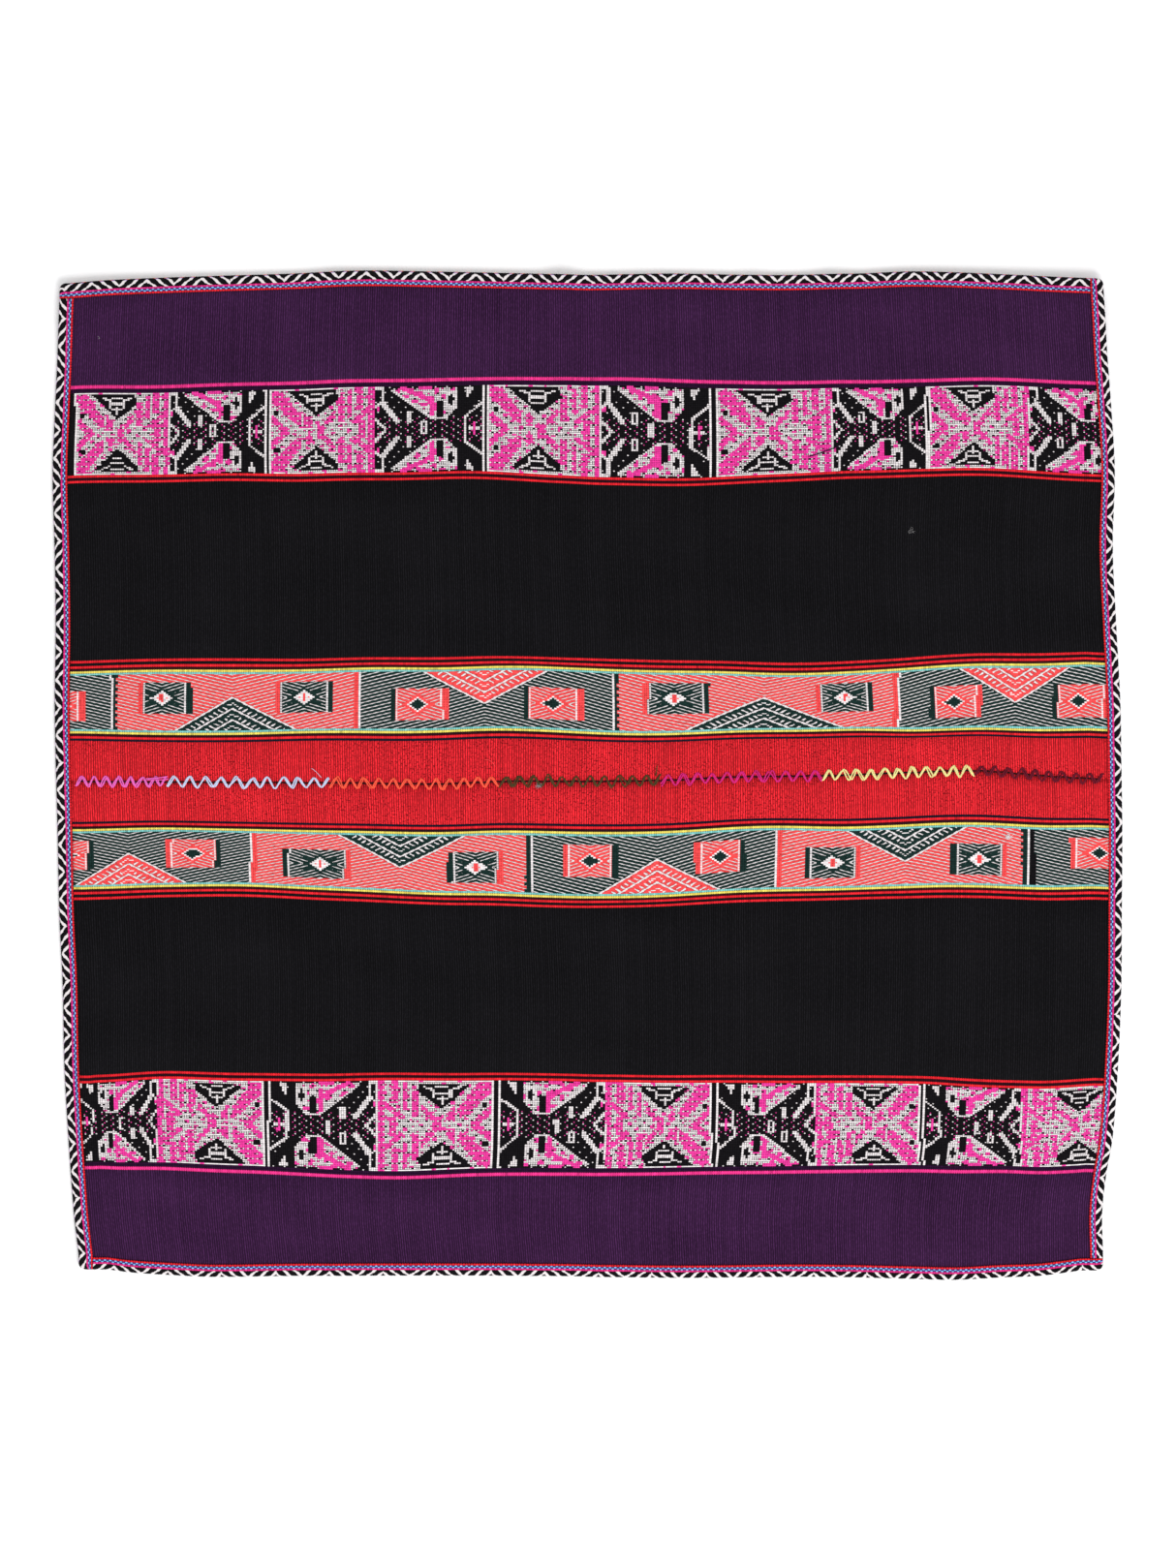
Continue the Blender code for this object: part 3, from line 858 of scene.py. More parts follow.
@dataclass(frozen=True)
class CoralFigures:
    """The coral band's figures: blocks of bent lines with rectangles, eyes and triangles."""

    rows: int
    blocks: tuple[CoralBlock, ...]
    pick: float = PICK_PITCH
    rectangle_rows: tuple[float, float] = (5, 24)  # where the triangle stands on the seam side
    triangle_rows: float = 20.5
    line: float = 0.115  # half a white line's thickness, as a share of two rows
    slope: float = 0.34  # rows for each pick
    steep: float = 0.44  # the same in the rectangles
    comb: float = 0.78  # the same of the ticks in the triangles
    nest: float = 6.8  # rows from one nested triangle to the next
    tick: float = 0.16  # half a tick's thickness, as a share of two ticks' distance
    flank: float = 0.55  # half a nested triangle's line, in rows
    bar: float = 2.2  # picks, of the upright bar at each end of a rectangle
    eye: tuple[float, float] = (7, 6.2)  # half its width in picks, and half its height in rows
    eye_white: tuple[float, float] = (4.8, 4.4)
    pupil: tuple[float, float] = (3.8, 3.4)  # of an eye in a coral rectangle

    def paint(self, cells: CellColours, here: Array, x: Array, pick: Array, row: Array) -> None:
        """Paints the figures.

        Args:
            cells: The cells to paint.
            here: True in the cells of this band.
            x: Each cell's place along the panel, in millimetres.
            pick: Each cell's number along the panel.
            row: Each cell's number across the band, from its outer side.
        """
        for block in self.blocks:
            inside = here & (x >= block.start) & (x < block.end)
            coral = block.ground is Ground.CORAL
            figure = Yarn.PINE if coral else Yarn.CORAL
            bend = self.slope / 2 if coral else -self.slope / 2
            lines = Ruling(block.triangle[2], bend, FAR_ROW, 0.5, self.line, 0.25, self.pick)
            cells.rule(inside, block.ground.value, lines)
            self._triangle(cells, inside, block, figure, x, row)
            if coral:
                self._ends(cells, inside, block, x, row)
            level = row if coral else self.rows - 1 - row
            for rectangle in (block.first, block.second):
                self._rectangle(cells, inside, rectangle, figure, x, level)

    def _ends(
        self, cells: CellColours, inside: Array, block: CoralBlock, x: Array, row: Array
    ) -> None:
        """Paints the upright lines that part a block from the next."""
        from_start, to_end = (x - block.start) / self.pick, (block.end - x) / self.pick
        cells.paint(inside & (from_start < 1), Yarn.WHITE)
        tooth = 2.6 + 0.8 * (row % 4 < 2)
        cells.paint(inside & (from_start >= 1) & (from_start < tooth), Yarn.PINE)
        cells.paint(inside & (to_end < 3.1) & (to_end >= 1), Yarn.CORAL)
        cells.paint(inside & (to_end < 1), Yarn.WHITE)

    def _triangle(
        self,
        cells: CellColours,
        inside: Array,
        block: CoralBlock,
        yarn: Yarn,
        x: Array,
        row: Array,
    ) -> None:
        """Paints nested triangles with ticks between them, on one side of the band."""
        start, end, apex = block.triangle
        coral = block.ground is Ground.CORAL
        half = np.where(x < apex, apex - start, end - apex)
        level = self.rows - 0.5 - row if coral else row + 0.5
        depth = self.triangle_rows * (1 - np.abs(x - apex) / half) - level
        here = inside & (depth >= 0.5)
        cells.paint(here, yarn, joined=True)
        turn = depth % self.nest
        flank = np.abs(x - apex) / self.pick > 2.4
        way = 1 if coral else -1
        pitch = 4 * self.comb
        ticks = Ruling(apex, self.comb / pitch, FAR_ROW, way / pitch, self.tick, 0.0, self.pick)
        cells.rule(here & (turn > self.nest - 3.5) & flank, yarn, ticks)
        cells.paint(here & (np.abs(turn - 4) < 0.5) & ~flank, Yarn.WHITE, 0.6, yarn, True)
        zero = self.triangle_rows - 0.5 - (self.rows if coral else 0) + FAR_ROW * way
        for side, reach in ((x < apex, apex - start), (x >= apex, end - apex)):
            fall = -self.triangle_rows / reach / self.nest * self.pick
            shift = zero / self.nest + 0.5
            thickness = self.flank / self.nest
            line = Ruling(apex, fall, FAR_ROW, way / self.nest, thickness, shift, self.pick)
            near = inside & side & (np.abs((turn + 1) % self.nest - 1.5) < 1.15)
            cells.rule(near & (depth > 0.5), yarn, line)
            cells.rule(near & (depth <= 0.5) & (depth > -0.8), block.ground.value, line)

    def _rectangle(
        self,
        cells: CellColours,
        inside: Array,
        rectangle: tuple[float, float, float],
        yarn: Yarn,
        x: Array,
        row: Array,
    ) -> None:
        """Paints a rectangle of lines that close round an eye."""
        start, end, eye = rectangle
        top, bottom = self.rectangle_rows
        here = inside & (x >= start) & (x < end) & (row >= top) & (row < bottom)
        level = (top + bottom) / 2
        steps, off = (x - eye) / self.pick, row + 0.5 - level
        middle = level if yarn is Yarn.PINE else self.rows - level
        lines = Ruling(eye, -self.steep / 2, middle, 0.5, self.line, 0.0, self.pick)
        cells.rule(here, yarn, lines)
        if yarn is Yarn.PINE:
            arms = (np.abs(np.abs(off) - np.abs(steps) * 0.62) < 0.8) & (np.abs(steps) < 8)
            cells.paint(here & arms, yarn, joined=True)
        from_start, to_end = (x - start) / self.pick, (end - x) / self.pick
        other = Yarn.CORAL if yarn is Yarn.PINE else Yarn.PINE
        beyond = (from_start >= self.bar) & (from_start < self.bar + 1)
        cells.paint(here & (from_start < self.bar), other)
        cells.paint(here & beyond, Yarn.WHITE, 0.8, yarn)
        cells.paint(here & (to_end < self.bar + 1), Yarn.WHITE, 0.9, yarn)
        cells.paint(here & (to_end < self.bar), yarn)
        across, along = np.abs(off), np.abs(steps)
        rim, white, pupil = (
            here & (along / width + across / height < 1)
            for width, height in (self.eye, self.eye_white, self.pupil)
        )
        cells.paint(rim, yarn, joined=True)
        cells.paint(white, Yarn.WHITE, 1.0, yarn, True)
        if other is Yarn.CORAL:
            cells.paint(here & (along < 0.8) & (across < 2.6), other)
            cells.paint(here & (along > 1.2) & (along < 2.2) & (across < 1), other, 0.8, Yarn.WHITE)
        else:
            cells.paint(pupil, other)


def coral_block(ground: Ground, *places: float) -> CoralBlock:
    """A block from its start, end, two rectangles with their eyes, and its triangle."""
    return CoralBlock(ground, *places[:2], places[2:5], places[5:8], places[8:11])


UPPER_PINK = (
    (-505.8, -415.0, -319.2), (-313.4, -211.7, -102.7), (-96.9, 12.0, 121.4),
    (130.1, 241.4, 336.0), (340.3, 436.8, 536.2),
)
LOWER_PINK = (
    (-531.4, -430.6, -332.6), (-327.4, -226.6, -128.2), (-121.4, -18.2, 88.3),
    (95.5, 207.4, 316.3), (322.1, 426.0, 503.5),
)
GREEN, CORAL = Ground.GREEN, Ground.CORAL
UPPER_CORAL = (
    coral_block(GREEN, -720, -473, -693, -640, -669, -549, -498, -523, -657, -544, -600),
    coral_block(CORAL, -473, -225, -446, -392, -422, -309, -252, -281, -410, -288, -352),
    coral_block(GREEN, -225, 24, -195, -138, -168, -63, -4, -35, -163, -38, -102),
    coral_block(CORAL, 24, 310, 55, 121, 86, 226, 283, 255, 96, 254, 175),
    coral_block(GREEN, 310, 560, 339, 391, 363, 461, 517, 487, 368, 479, 424),
)
LOWER_CORAL = (
    coral_block(GREEN, -695, -444, -666, -618, -642, -531, -478, -507, -637, -522, -579),
    coral_block(CORAL, -438, -186, -416, -360, -388, -271, -215, -243, -377, -256, -315),
    coral_block(GREEN, -186, 54, -157, -106, -132, -30, 24, -3, -132, -10, -69),
    coral_block(CORAL, 54, 335, 84, 139, 111, 235, 302, 265, 121, 248, 186),
    coral_block(GREEN, 335, 582, 364, 418, 391, 490, 544, 515, 397, 508, 455),
)


# Shader making


class Shade:
    """A shader socket that can be used in expressions."""

    def __init__(self, nodes: "Nodes", socket: bpy.types.NodeSocket) -> None:
        """Wraps a socket of one material's nodes."""
        self.nodes, self.socket = nodes, socket

    def _math(self, operation: str, *values: "Shade | float") -> "Shade":
        """A Math node on this socket's material."""
        return self.nodes.add("ShaderNodeMath", {"operation": operation}, dict(enumerate(values)))

    def __add__(self, other: "Shade | float") -> "Shade":
        """Adds."""
        return self._math("ADD", self, other)

    __radd__ = __add__

    def __sub__(self, other: "Shade | float") -> "Shade":
        """Subtracts."""
        return self._math("SUBTRACT", self, other)

    def __rsub__(self, other: float) -> "Shade":
        """Subtracts from a number."""
        return self._math("SUBTRACT", other, self)

    def __mul__(self, other: "Shade | float") -> "Shade":
        """Multiplies."""
        return self._math("MULTIPLY", self, other)

    __rmul__ = __mul__

    def __truediv__(self, other: "Shade | float") -> "Shade":
        """Divides."""
        return self._math("DIVIDE", self, other)

    def __pow__(self, other: float) -> "Shade":
        """Raises to a power."""
        return self._math("POWER", self, other)

    def __abs__(self) -> "Shade":
        """The absolute value."""
        return self._math("ABSOLUTE", self)

    def __gt__(self, other: "Shade | float") -> "Shade":
        """1 where this is greater."""
        return self._math("GREATER_THAN", self, other)

    def __lt__(self, other: "Shade | float") -> "Shade":
        """1 where this is less."""
        return self._math("LESS_THAN", self, other)

    def fraction(self) -> "Shade":
        """The part after the decimal point."""
        return self._math("FRACT", self)

    def floor(self) -> "Shade":
        """The whole number below."""
        return self._math("FLOOR", self)

    def soft_step(self, low: float, high: float) -> "Shade":
        """0 below low, 1 above high, eased between."""
        inputs = {0: self, 1: low, 2: high, 3: 0.0, 4: 1.0}
        return self.nodes.add("ShaderNodeMapRange", {"interpolation_type": "SMOOTHSTEP"}, inputs)


class Nodes:
    """Builds the nodes of one material."""

    bump_strength = 0.7

    def __init__(self, name: str) -> None:
        """Starts a material with its shader."""
        self.material = bpy.data.materials.new(name)
        self.material.use_nodes = True
        self.tree = self.material.node_tree
        self.shader = self.tree.nodes["Principled BSDF"]

    def add(
        self,
        kind: str,
        settings: dict[str, Any],
        inputs: dict[int | str, Any],
        output: int | str = 0,
    ) -> Shade:
        """Adds a node.

        Args:
            kind: The node's type.
            settings: What is set on the node first.
            inputs: Values or links of its sockets, by name or number.
            output: The output to give back.

        Returns:
            That output.
        """
        node = self.tree.nodes.new(kind)
        for name, value in settings.items():
            setattr(node, name, value)
        for key, value in inputs.items():
            self._feed(node.inputs[key], value)
        return Shade(self, node.outputs[output])

    def _feed(self, socket: bpy.types.NodeSocket, value: Any) -> None:
        """Links a socket or sets its value."""
        if isinstance(value, Shade):
            self.tree.links.new(value.socket, socket)
        else:
            socket.default_value = value

    def map(self, name: str) -> tuple[Shade, Shade]:
        """The two values of a UV map."""
        uv = self.add("ShaderNodeUVMap", {"uv_map": name}, {})
        split = self.tree.nodes.new("ShaderNodeSeparateXYZ")
        self.tree.links.new(uv.socket, split.inputs[0])
        return Shade(self, split.outputs[0]), Shade(self, split.outputs[1])

    def attribute(self, name: str) -> tuple[Shade, Shade]:
        """The colour and the alpha of a colour attribute."""
        node = self.tree.nodes.new("ShaderNodeAttribute")
        node.attribute_name = name
        return Shade(self, node.outputs["Color"]), Shade(self, node.outputs["Alpha"])

    def vector(self, x: Shade | float, y: Shade | float, z: Shade | float = 0.0) -> Shade:
        """A vector of three values."""
        return self.add("ShaderNodeCombineXYZ", {}, {0: x, 1: y, 2: z})

    def noise(self, vector: Shade, scale: float, detail: float = 2.0) -> Shade:
        """Smooth noise from 0 to 1."""
        inputs = {"Vector": vector, "Scale": scale, "Detail": detail}
        return self.add("ShaderNodeTexNoise", {}, inputs)

    def speckle(self, vector: Shade) -> Shade:
        """A random value from 0 to 1 for each vector."""
        return self.add("ShaderNodeTexWhiteNoise", {"noise_dimensions": "3D"}, {"Vector": vector})

    def mix(self, share: Shade | float, first: Shade | Colour, second: Shade | Colour) -> Shade:
        """A blend of two colours."""
        first, second = (c if isinstance(c, Shade) else (*c, 1.0) for c in (first, second))
        return self.add("ShaderNodeMix", {"data_type": "RGBA"}, {0: share, 6: first, 7: second}, 2)

    def scaled(self, colour: Shade | Colour, by: Shade | float) -> Shade:
        """A colour made brighter or darker."""
        inputs = {"Vector": colour, "Scale": by}
        return self.add("ShaderNodeVectorMath", {"operation": "SCALE"}, inputs)

    def dress(
        self, colour: Shade, roughness: float, height: Shade | None = None, depth: float = 0.0
    ) -> None:
        """Feeds the shader.

        Args:
            colour: The base colour.
            roughness: The roughness.
            height: The surface's fine relief, or None.
            depth: How deep that relief is, in metres.
        """
        self._feed(self.shader.inputs["Base Color"], colour)
        self._feed(self.shader.inputs["Roughness"], roughness)
        if height is not None:
            inputs = {"Height": height, "Distance": depth, "Strength": self.bump_strength}
            bump = self.add("ShaderNodeBump", {}, inputs)
            self._feed(self.shader.inputs["Normal"], bump)


@dataclass(frozen=True)
class WoolFinish:
    """What every wool surface has: its dullness and its sheen."""

    name: str
    roughness: float = 0.85
    sheen: float = 0.012
    sheen_roughness: float = 0.4
    specular: float = 0.05

    def start(self) -> Nodes:
        """Starts the material with its constant values."""
        nodes = Nodes(self.name)
        nodes.shader.inputs["Sheen Weight"].default_value = self.sheen
        nodes.shader.inputs["Sheen Roughness"].default_value = self.sheen_roughness
        nodes.shader.inputs["Specular IOR Level"].default_value = self.specular
        return nodes


@dataclass(frozen=True)
class GroundFinish(WoolFinish):
    """The panels' own web: ribbed grounds, with the stripes of the back."""

    # Columns: where a stripe starts, in millimetres from the seam, and its yarn
    stripes: tuple[tuple[float, Yarn], ...] = ()
    half_width: float = 500.0
    flecked: float = 40.5  # millimetres from the seam where dark flecks show
    painted_valley_shade: float = 0.4  # painted shade between two ribs, as a brightness
    painted_glint: float = 0.6  # painted highlight on some lengths of a rib, as extra brightness
    crown: float = 0.42  # painted highlight that every rib's crown has over the shade between ribs
    own: float = 0.4  # how much brighter, at random, the crowns of some ribs are, on top of the painted highlight
    relief: float = 0.25 * MM

    def make(self) -> bpy.types.Material:
        """Makes the material."""
        nodes = self.start()
        pick, across = nodes.map("Web")
        base = self.stripes[0][1].linear
        for place, yarn in self.stripes[1:]:
            base = nodes.mix(across > place / self.half_width, base, yarn.linear)
        way = across * self.half_width
        # A rib for each pick, which strays a little; its crown gets a painted highlight, brighter
        # on some ribs at random
        stray = nodes.noise(nodes.vector(pick * 0.5, way * 0.06), 1.0, 2.0) * 0.6 - 0.3
        rib = (1 - abs((pick + stray).fraction() * 2 - 1)).soft_step(0.25, 0.9)
        own = nodes.speckle(nodes.vector((pick + stray).floor(), 0.0))
        # Painted highlight on lengths of a rib that catch the light, worn areas, single threads and
        # dark flecks
        painted_glint = nodes.noise(nodes.vector(pick * 1.9, way * 0.3), 1.0, 3.0).soft_step(0.44, 0.62)
        worn = nodes.noise(nodes.vector(pick * 0.022, way * 0.018), 1.0, 3.0)
        thread = nodes.noise(nodes.vector(pick * 1.25, way * 0.6), 1.0, 2.0)
        fleck = thread.soft_step(0.55, 0.62) * worn.soft_step(0.34, 0.56) * (way < self.flecked)
        # Painted highlight on the ribs' crowns over painted shade between them, with worn areas and
        # dark flecks
        crown = rib * (self.crown + own * self.own + painted_glint * self.painted_glint)
        bright = (self.painted_valley_shade + crown + (worn - 0.5) * 0.5) * (1 - fleck * 0.7)
        height = rib * 0.8 + thread * 0.4
        nodes.dress(nodes.scaled(base, bright), self.roughness, height, self.relief)
        return nodes.material


@dataclass(frozen=True)
class CellFinish(WoolFinish):
    """Figured weave: each cell is a rounded float of warp over a pick, with what is beside it."""

    half_length: float = 0.53  # of a float, as a share of its cell
    half_breadth: float = 0.5
    darkest: float = 0.62  # brightness of a float's darkest fibres
    fibres: float = 0.68  # how much brighter its brightest ones are
    relief: float = 0.2 * MM

    def make(self) -> bpy.types.Material:
        """Makes the material."""
        nodes = self.start()
        pick, row = nodes.map("Pick")
        yarn, fill = nodes.attribute("Yarn")
        beside, joined = nodes.attribute("Beside")
        # A rounded float in each cell, which runs on along the warp where floats are joined; round
        # it shows the beside colour, which carries painted shade
        along = abs(pick.fraction() - 0.5) * (1 - joined * 0.85) / (fill * self.half_length)
        across = abs(row.fraction() - 0.5) / (fill * self.half_breadth)
        off = (along**2.6 + across**2.6).soft_step(0.5, 1.15)
        fibre = nodes.noise(nodes.vector(pick * 1.3, row * 5.0), 1.0, 2.0)
        floats = nodes.mix(off, nodes.scaled(yarn, self.darkest + fibre * self.fibres), beside)
        # Slanted lines, in the cells that have them
        phase, thickness = nodes.map("Line")
        lined = thickness > 0.01
        beat = abs((pick / 3 + phase.floor() * 0.5).fraction() - 0.5)
        uneven = phase + (pick.fraction() - 0.5) * 0.05
        from_line = abs(uneven.fraction() - 0.5) / (thickness * (1.4 - beat * 1.7))
        shadow = 0.3 + from_line.soft_step(1.0, 2.1) * 0.8
        ground = nodes.scaled(yarn, (0.4 + fibre * 0.65) * shadow)
        line = nodes.scaled(beside, 0.55 + fibre * self.fibres)
        lines = nodes.mix(from_line.soft_step(0.8, 1.2), line, ground)
        edge = abs(from_line - 1).soft_step(0.0, 0.6)
        height = (1 - off) * (1 - lined) + edge * lined + fibre * 0.3
        nodes.dress(nodes.mix(lined, floats, lines), self.roughness, height, self.relief)
        return nodes.material


@dataclass(frozen=True)
class StrandFinish(WoolFinish):
    """Spun yarn of one colour, mottled by its fibres."""

    yarn: Yarn = Yarn.BLACK
    relief: float = 0.3 * MM

    def make(self) -> bpy.types.Material:
        """Makes the material."""
        nodes = self.start()
        coordinates = nodes.add("ShaderNodeTexCoord", {}, {}, "Object")
        fibre = nodes.noise(coordinates, 900.0, 3.0)
        blotch = nodes.noise(coordinates, 120.0, 2.0)
        colour = nodes.scaled(self.yarn.linear, 0.62 + fibre * 0.5 + blotch * 0.25)
        nodes.dress(colour, self.roughness, fibre, self.relief)
        return nodes.material


# The cloth's pieces


@dataclass(frozen=True)
class Web:
    """What the two panels share: picks, thickness and the stripe layout."""

    picks: int = 460
    inset: float = 3.3 * MM  # of a panel's border from the cloth's edge
    thickness: float = 1.6 * MM
    rib: float = 0.16 * MM
    dip: float = 0.55 * MM  # of the web under a figured band
    swell: float = 0.3 * MM  # of a float's middle over its border
    border: float = 0.6  # millimetres over which the web dips
    end_cover: float = 2.0 * MM  # how far a figured band reaches under the edging
    sink: float = 0.05 * MM  # of a float's border below the web's face


@dataclass(frozen=True)
class BandRows:
    """Some rows of a figured band: a line of one yarn, or the figures where yarn is None."""

    width: float
    count: int
    yarn: Yarn | None


def figure_rows(band_rows: Sequence[BandRows]) -> int:
    """How many rows of a band carry its figures."""
    return sum(rows.count for rows in band_rows if rows.yarn is None)


# Where the bands start, in millimetres from the seam
CORAL_START, PINK_START = 40.7, 296.7
CORAL_ROWS = (
    BandRows(2.0, 1, Yarn.NAVY),
    BandRows(2.6, 1, Yarn.RED),
    BandRows(2.5, 1, Yarn.WINE),
    BandRows(2.4, 1, Yarn.YELLOW),
    BandRows(2.1, 1, Yarn.TURQUOISE),
    BandRows(54.7, 34, None),
    BandRows(2.0, 1, Yarn.TURQUOISE),
    BandRows(2.4, 1, Yarn.YELLOW),
    BandRows(2.4, 1, Yarn.BROWN),
    BandRows(2.6, 1, Yarn.RED),
    BandRows(2.6, 1, Yarn.BLACK),
    BandRows(2.5, 1, Yarn.RED),
)
PINK_ROWS = (
    BandRows(2.4, 1, Yarn.RED),
    BandRows(2.8, 2, Yarn.WINE),
    BandRows(2.6, 1, Yarn.RED),
    BandRows(84.5, 52, None),
    BandRows(4.3, 2, Yarn.PLUM),
    BandRows(3.5, 1, Yarn.HOT_PINK),
)


@dataclass
class FiguredBand:
    """One figured band of a panel, with the plain lines beside it, cell by cell."""

    name: str
    side: int
    lie: Lie
    web: Web
    start: float  # millimetres from the seam
    band_rows: tuple[BandRows, ...]
    figures: PinkFigures | CoralFigures
    seed: int

    @property
    def borders(self) -> Array:
        """Where the rows meet, in millimetres from the seam."""
        places = [self.start]
        for rows in self.band_rows:
            low = places[-1]
            places += [low + rows.width * (k + 1) / rows.count for k in range(rows.count)]
        return np.array(places)

    def build(self, material: bpy.types.Material) -> bpy.types.Object:
        """Builds the band.

        Args:
            material: Its finish.

        Returns:
            The band's object.
        """
        lie, web = self.lie, self.web
        half = lie.half_length - web.inset
        pitch = 2 * half / web.picks
        reaches = (lie.left_reach, lie.right_reach)
        start_reach, end_reach = reaches if self.side > 0 else reaches[::-1]
        first = math.ceil((start_reach - web.end_cover - web.inset) / pitch)
        last = web.picks - math.ceil((end_reach - web.end_cover - web.inset) / pitch)
        borders = self.borders
        mesh = GridMesh(self.name, last - first, len(borders) - 1)
        along = (mesh.grid[:, 0] + first) * pitch - half
        off_seam = np.interp(mesh.grid[:, 1], np.arange(len(borders)), borders) * MM
        top = web.thickness - web.sink
        z = np.where(mesh.in_middle, top + web.swell, top)
        z = np.where(mesh.on_border, web.thickness - web.dip, z)
        column, row = mesh.cell_middles()
        middles = self._places((column + first) * pitch - half, row)
        cells, outer = self._cells(middles, np.floor(column + first), np.floor(row))
        mesh.colour(*cells.values(self.seed))
        mesh.map_corners("Pick", mesh.grid[:, 0], mesh.grid[:, 1])
        places = lie.lay_panel(self.side, along, off_seam, z)
        corners = mesh.corner_vertices
        x, rows = self.side * places[corners, 0] / MM, outer - mesh.grid[corners, 1]
        numbers = np.repeat(mesh.cells, mesh.corner_counts)
        mesh.set_map("Line", *cells.line_map(numbers, x, rows))
        mesh.map_for_bake(3)
        mesh.place(places)
        return finish_piece(mesh.mesh, material)

    def _places(self, along: Array, row: Array) -> Array:
        """Where the cells' middles lie along the panel's own warp, in millimetres."""
        borders = self.borders
        off_seam = np.interp(row, np.arange(len(borders)), borders) * MM
        return self.side * self.lie.lay_panel(self.side, along, off_seam, 0 * along)[:, 0] / MM

    def _cells(self, x: Array, pick: Array, row: Array) -> tuple[CellColours, int]:
        """Paints the cells.

        Args:
            x: Each cell's place along the panel, in millimetres.
            pick: Its number along the panel.
            row: Its number from the seam side.

        Returns:
            The cells' colours, and the number of rows up to the figures' outer side.
        """
        cells = CellColours(len(x), Yarn.BLACK)
        low = outer = 0
        for rows in self.band_rows:
            here = (row >= low) & (row < low + rows.count)
            if rows.yarn is None:
                outer = low + rows.count
                self.figures.paint(cells, here, x, pick, outer - 1 - row)
            else:
                cells.paint(here, rows.yarn)
            low += rows.count
        return cells, outer


@dataclass
class Panel:
    """One loom width: its web and the two figured bands on it."""

    name: str
    node: str
    side: int
    lie: Lie
    web: Web
    pink: PinkFigures
    coral: CoralFigures
    # Where rows of vertices lie between the figured bands' borders, in millimetres from the seam
    plain_rows: tuple[float, ...] = (
        0.15, 13, 27, 60, 80, 100, 145, 175, 205, 235, 265, 320, 345, 370, 415, 432, 446, 458,
        470, 484,
    )

    def row_places(self) -> Array:
        """Where the web's rows of vertices lie, in millimetres from the seam."""
        border = self.web.border
        steps = [
            step for low, high in self.dips() for step in (low, low + border, high - border, high)
        ]
        rim = (self.lie.half_width - self.web.inset) / MM
        return np.array(sorted([*self.plain_rows, *steps, rim]))

    def dips(self) -> tuple[tuple[float, float], ...]:
        """Where the figured bands lie, in millimetres from the seam."""
        return tuple(
            (start, start + sum(rows.width for rows in band_rows))
            for start, band_rows in ((CORAL_START, CORAL_ROWS), (PINK_START, PINK_ROWS))
        )

    def build_web(self, material: bpy.types.Material) -> bpy.types.Object:
        """Builds the web, on both faces, with its ribs.

        Args:
            material: Its finish.

        Returns:
            The web's object.
        """
        web = self.web
        half = self.lie.half_length - web.inset
        places = self.row_places()
        mesh = GridMesh(self.name, 2 * web.picks, len(places) - 1, raised=False, thick=True)
        along = mesh.grid[:, 0] * half / web.picks - half
        off_seam = np.interp(mesh.grid[:, 1], np.arange(len(places)), places)
        above = mesh.grid[:, 2] > 0.5
        crown = np.round(mesh.grid[:, 0]) % 2 == 1
        rib = web.rib * (0.7 + 0.3 * np.sin(along / 0.0047 + off_seam / 23))
        dipped = np.zeros(len(along), bool)
        for low, high in self.dips():
            dipped |= (off_seam > low + web.border / 2) & (off_seam < high - web.border / 2)
        top = web.thickness + np.where(crown, rib / 2, -rib / 2) - np.where(dipped, web.dip, 0)
        under = np.where(crown, 0.0, rib)
        mesh.map_corners("Web", mesh.grid[:, 0] / 2, off_seam * MM / self.lie.half_width)
        mesh.map_for_bake(1)
        z = np.where(above, top, under)
        mesh.place(self.lie.lay_panel(self.side, along, off_seam * MM, z))
        return finish_piece(mesh.mesh, material, [self.node])

    def build(self, ground: bpy.types.Material, cells: bpy.types.Material) -> None:
        """Args:
            ground: The web's finish.
            cells: The figured bands' finish.
        """
        web = self.build_web(ground)
        for word, start, rows, figures, seed in (
            ("coral", CORAL_START, CORAL_ROWS, self.coral, SEED + self.side),
            ("pink", PINK_START, PINK_ROWS, self.pink, SEED + 5 * self.side),
        ):
            name = f"{self.name}_{word}_band"
            band = FiguredBand(name, self.side, self.lie, self.web, start, rows, figures, seed)
            band.build(cells)
        flat = (self.lie.half_width - self.web.inset, self.lie.length - 2 * self.web.inset)


@dataclass(frozen=True)
class EdgingSection:
    """The edging's section: a flat tube folded round the panels' border, in metres."""

    reach: float
    thickness: float = 4.6 * MM
    wall: float = 1.2 * MM
    slot_start: float = 3.0 * MM
    rounding: float = 1.6 * MM
    beads: tuple[float, ...] = (2.0 * MM, 1.35 * MM, 1.35 * MM, 1.9 * MM)  # red, two blue, pink
    row: float = 1.17 * MM
    rim_rows: int = 5

    @cached_property
    def path(self) -> Array:
        """The section's corners: distance in from the edge, height, and way round. Closed."""
        top, middle = self.thickness, self.thickness / 2
        face_inner = self.reach - sum(self.beads)
        count = max(2, round((face_inner - self.rounding) / self.row))
        face = [(self.reach, top)]
        for bead in self.beads:
            face.append((face[-1][0] - bead, top))
        face += [
            (face_inner + (self.rounding - face_inner) * (k + 1) / count, top)
            for k in range(count)
        ]
        angles = [math.pi / 2 * (1 - 2 * (k + 1) / self.rim_rows) for k in range(self.rim_rows)]
        rim = [(self.rounding * (1 - math.cos(a)), middle * (1 + math.sin(a))) for a in angles]
        back = [(inward, 0.0) for inward, _ in reversed(face[:-1])]
        lips = [(self.reach, self.wall), (self.slot_start, self.wall), (self.slot_start, middle)]
        slot = [(inward, top - height) for inward, height in reversed(lips)]
        points = np.array([*slot, *face, *rim, *back, *lips])
        steps = np.hypot(*np.diff(points, axis=0).T)
        way = np.concatenate(([0.0], np.cumsum(steps)))
        return np.column_stack((points, way - way[3]))

    @property
    def length(self) -> float:
        """The way round the outside, from the face's lip to the back's."""
        return self.path[-4, 2]


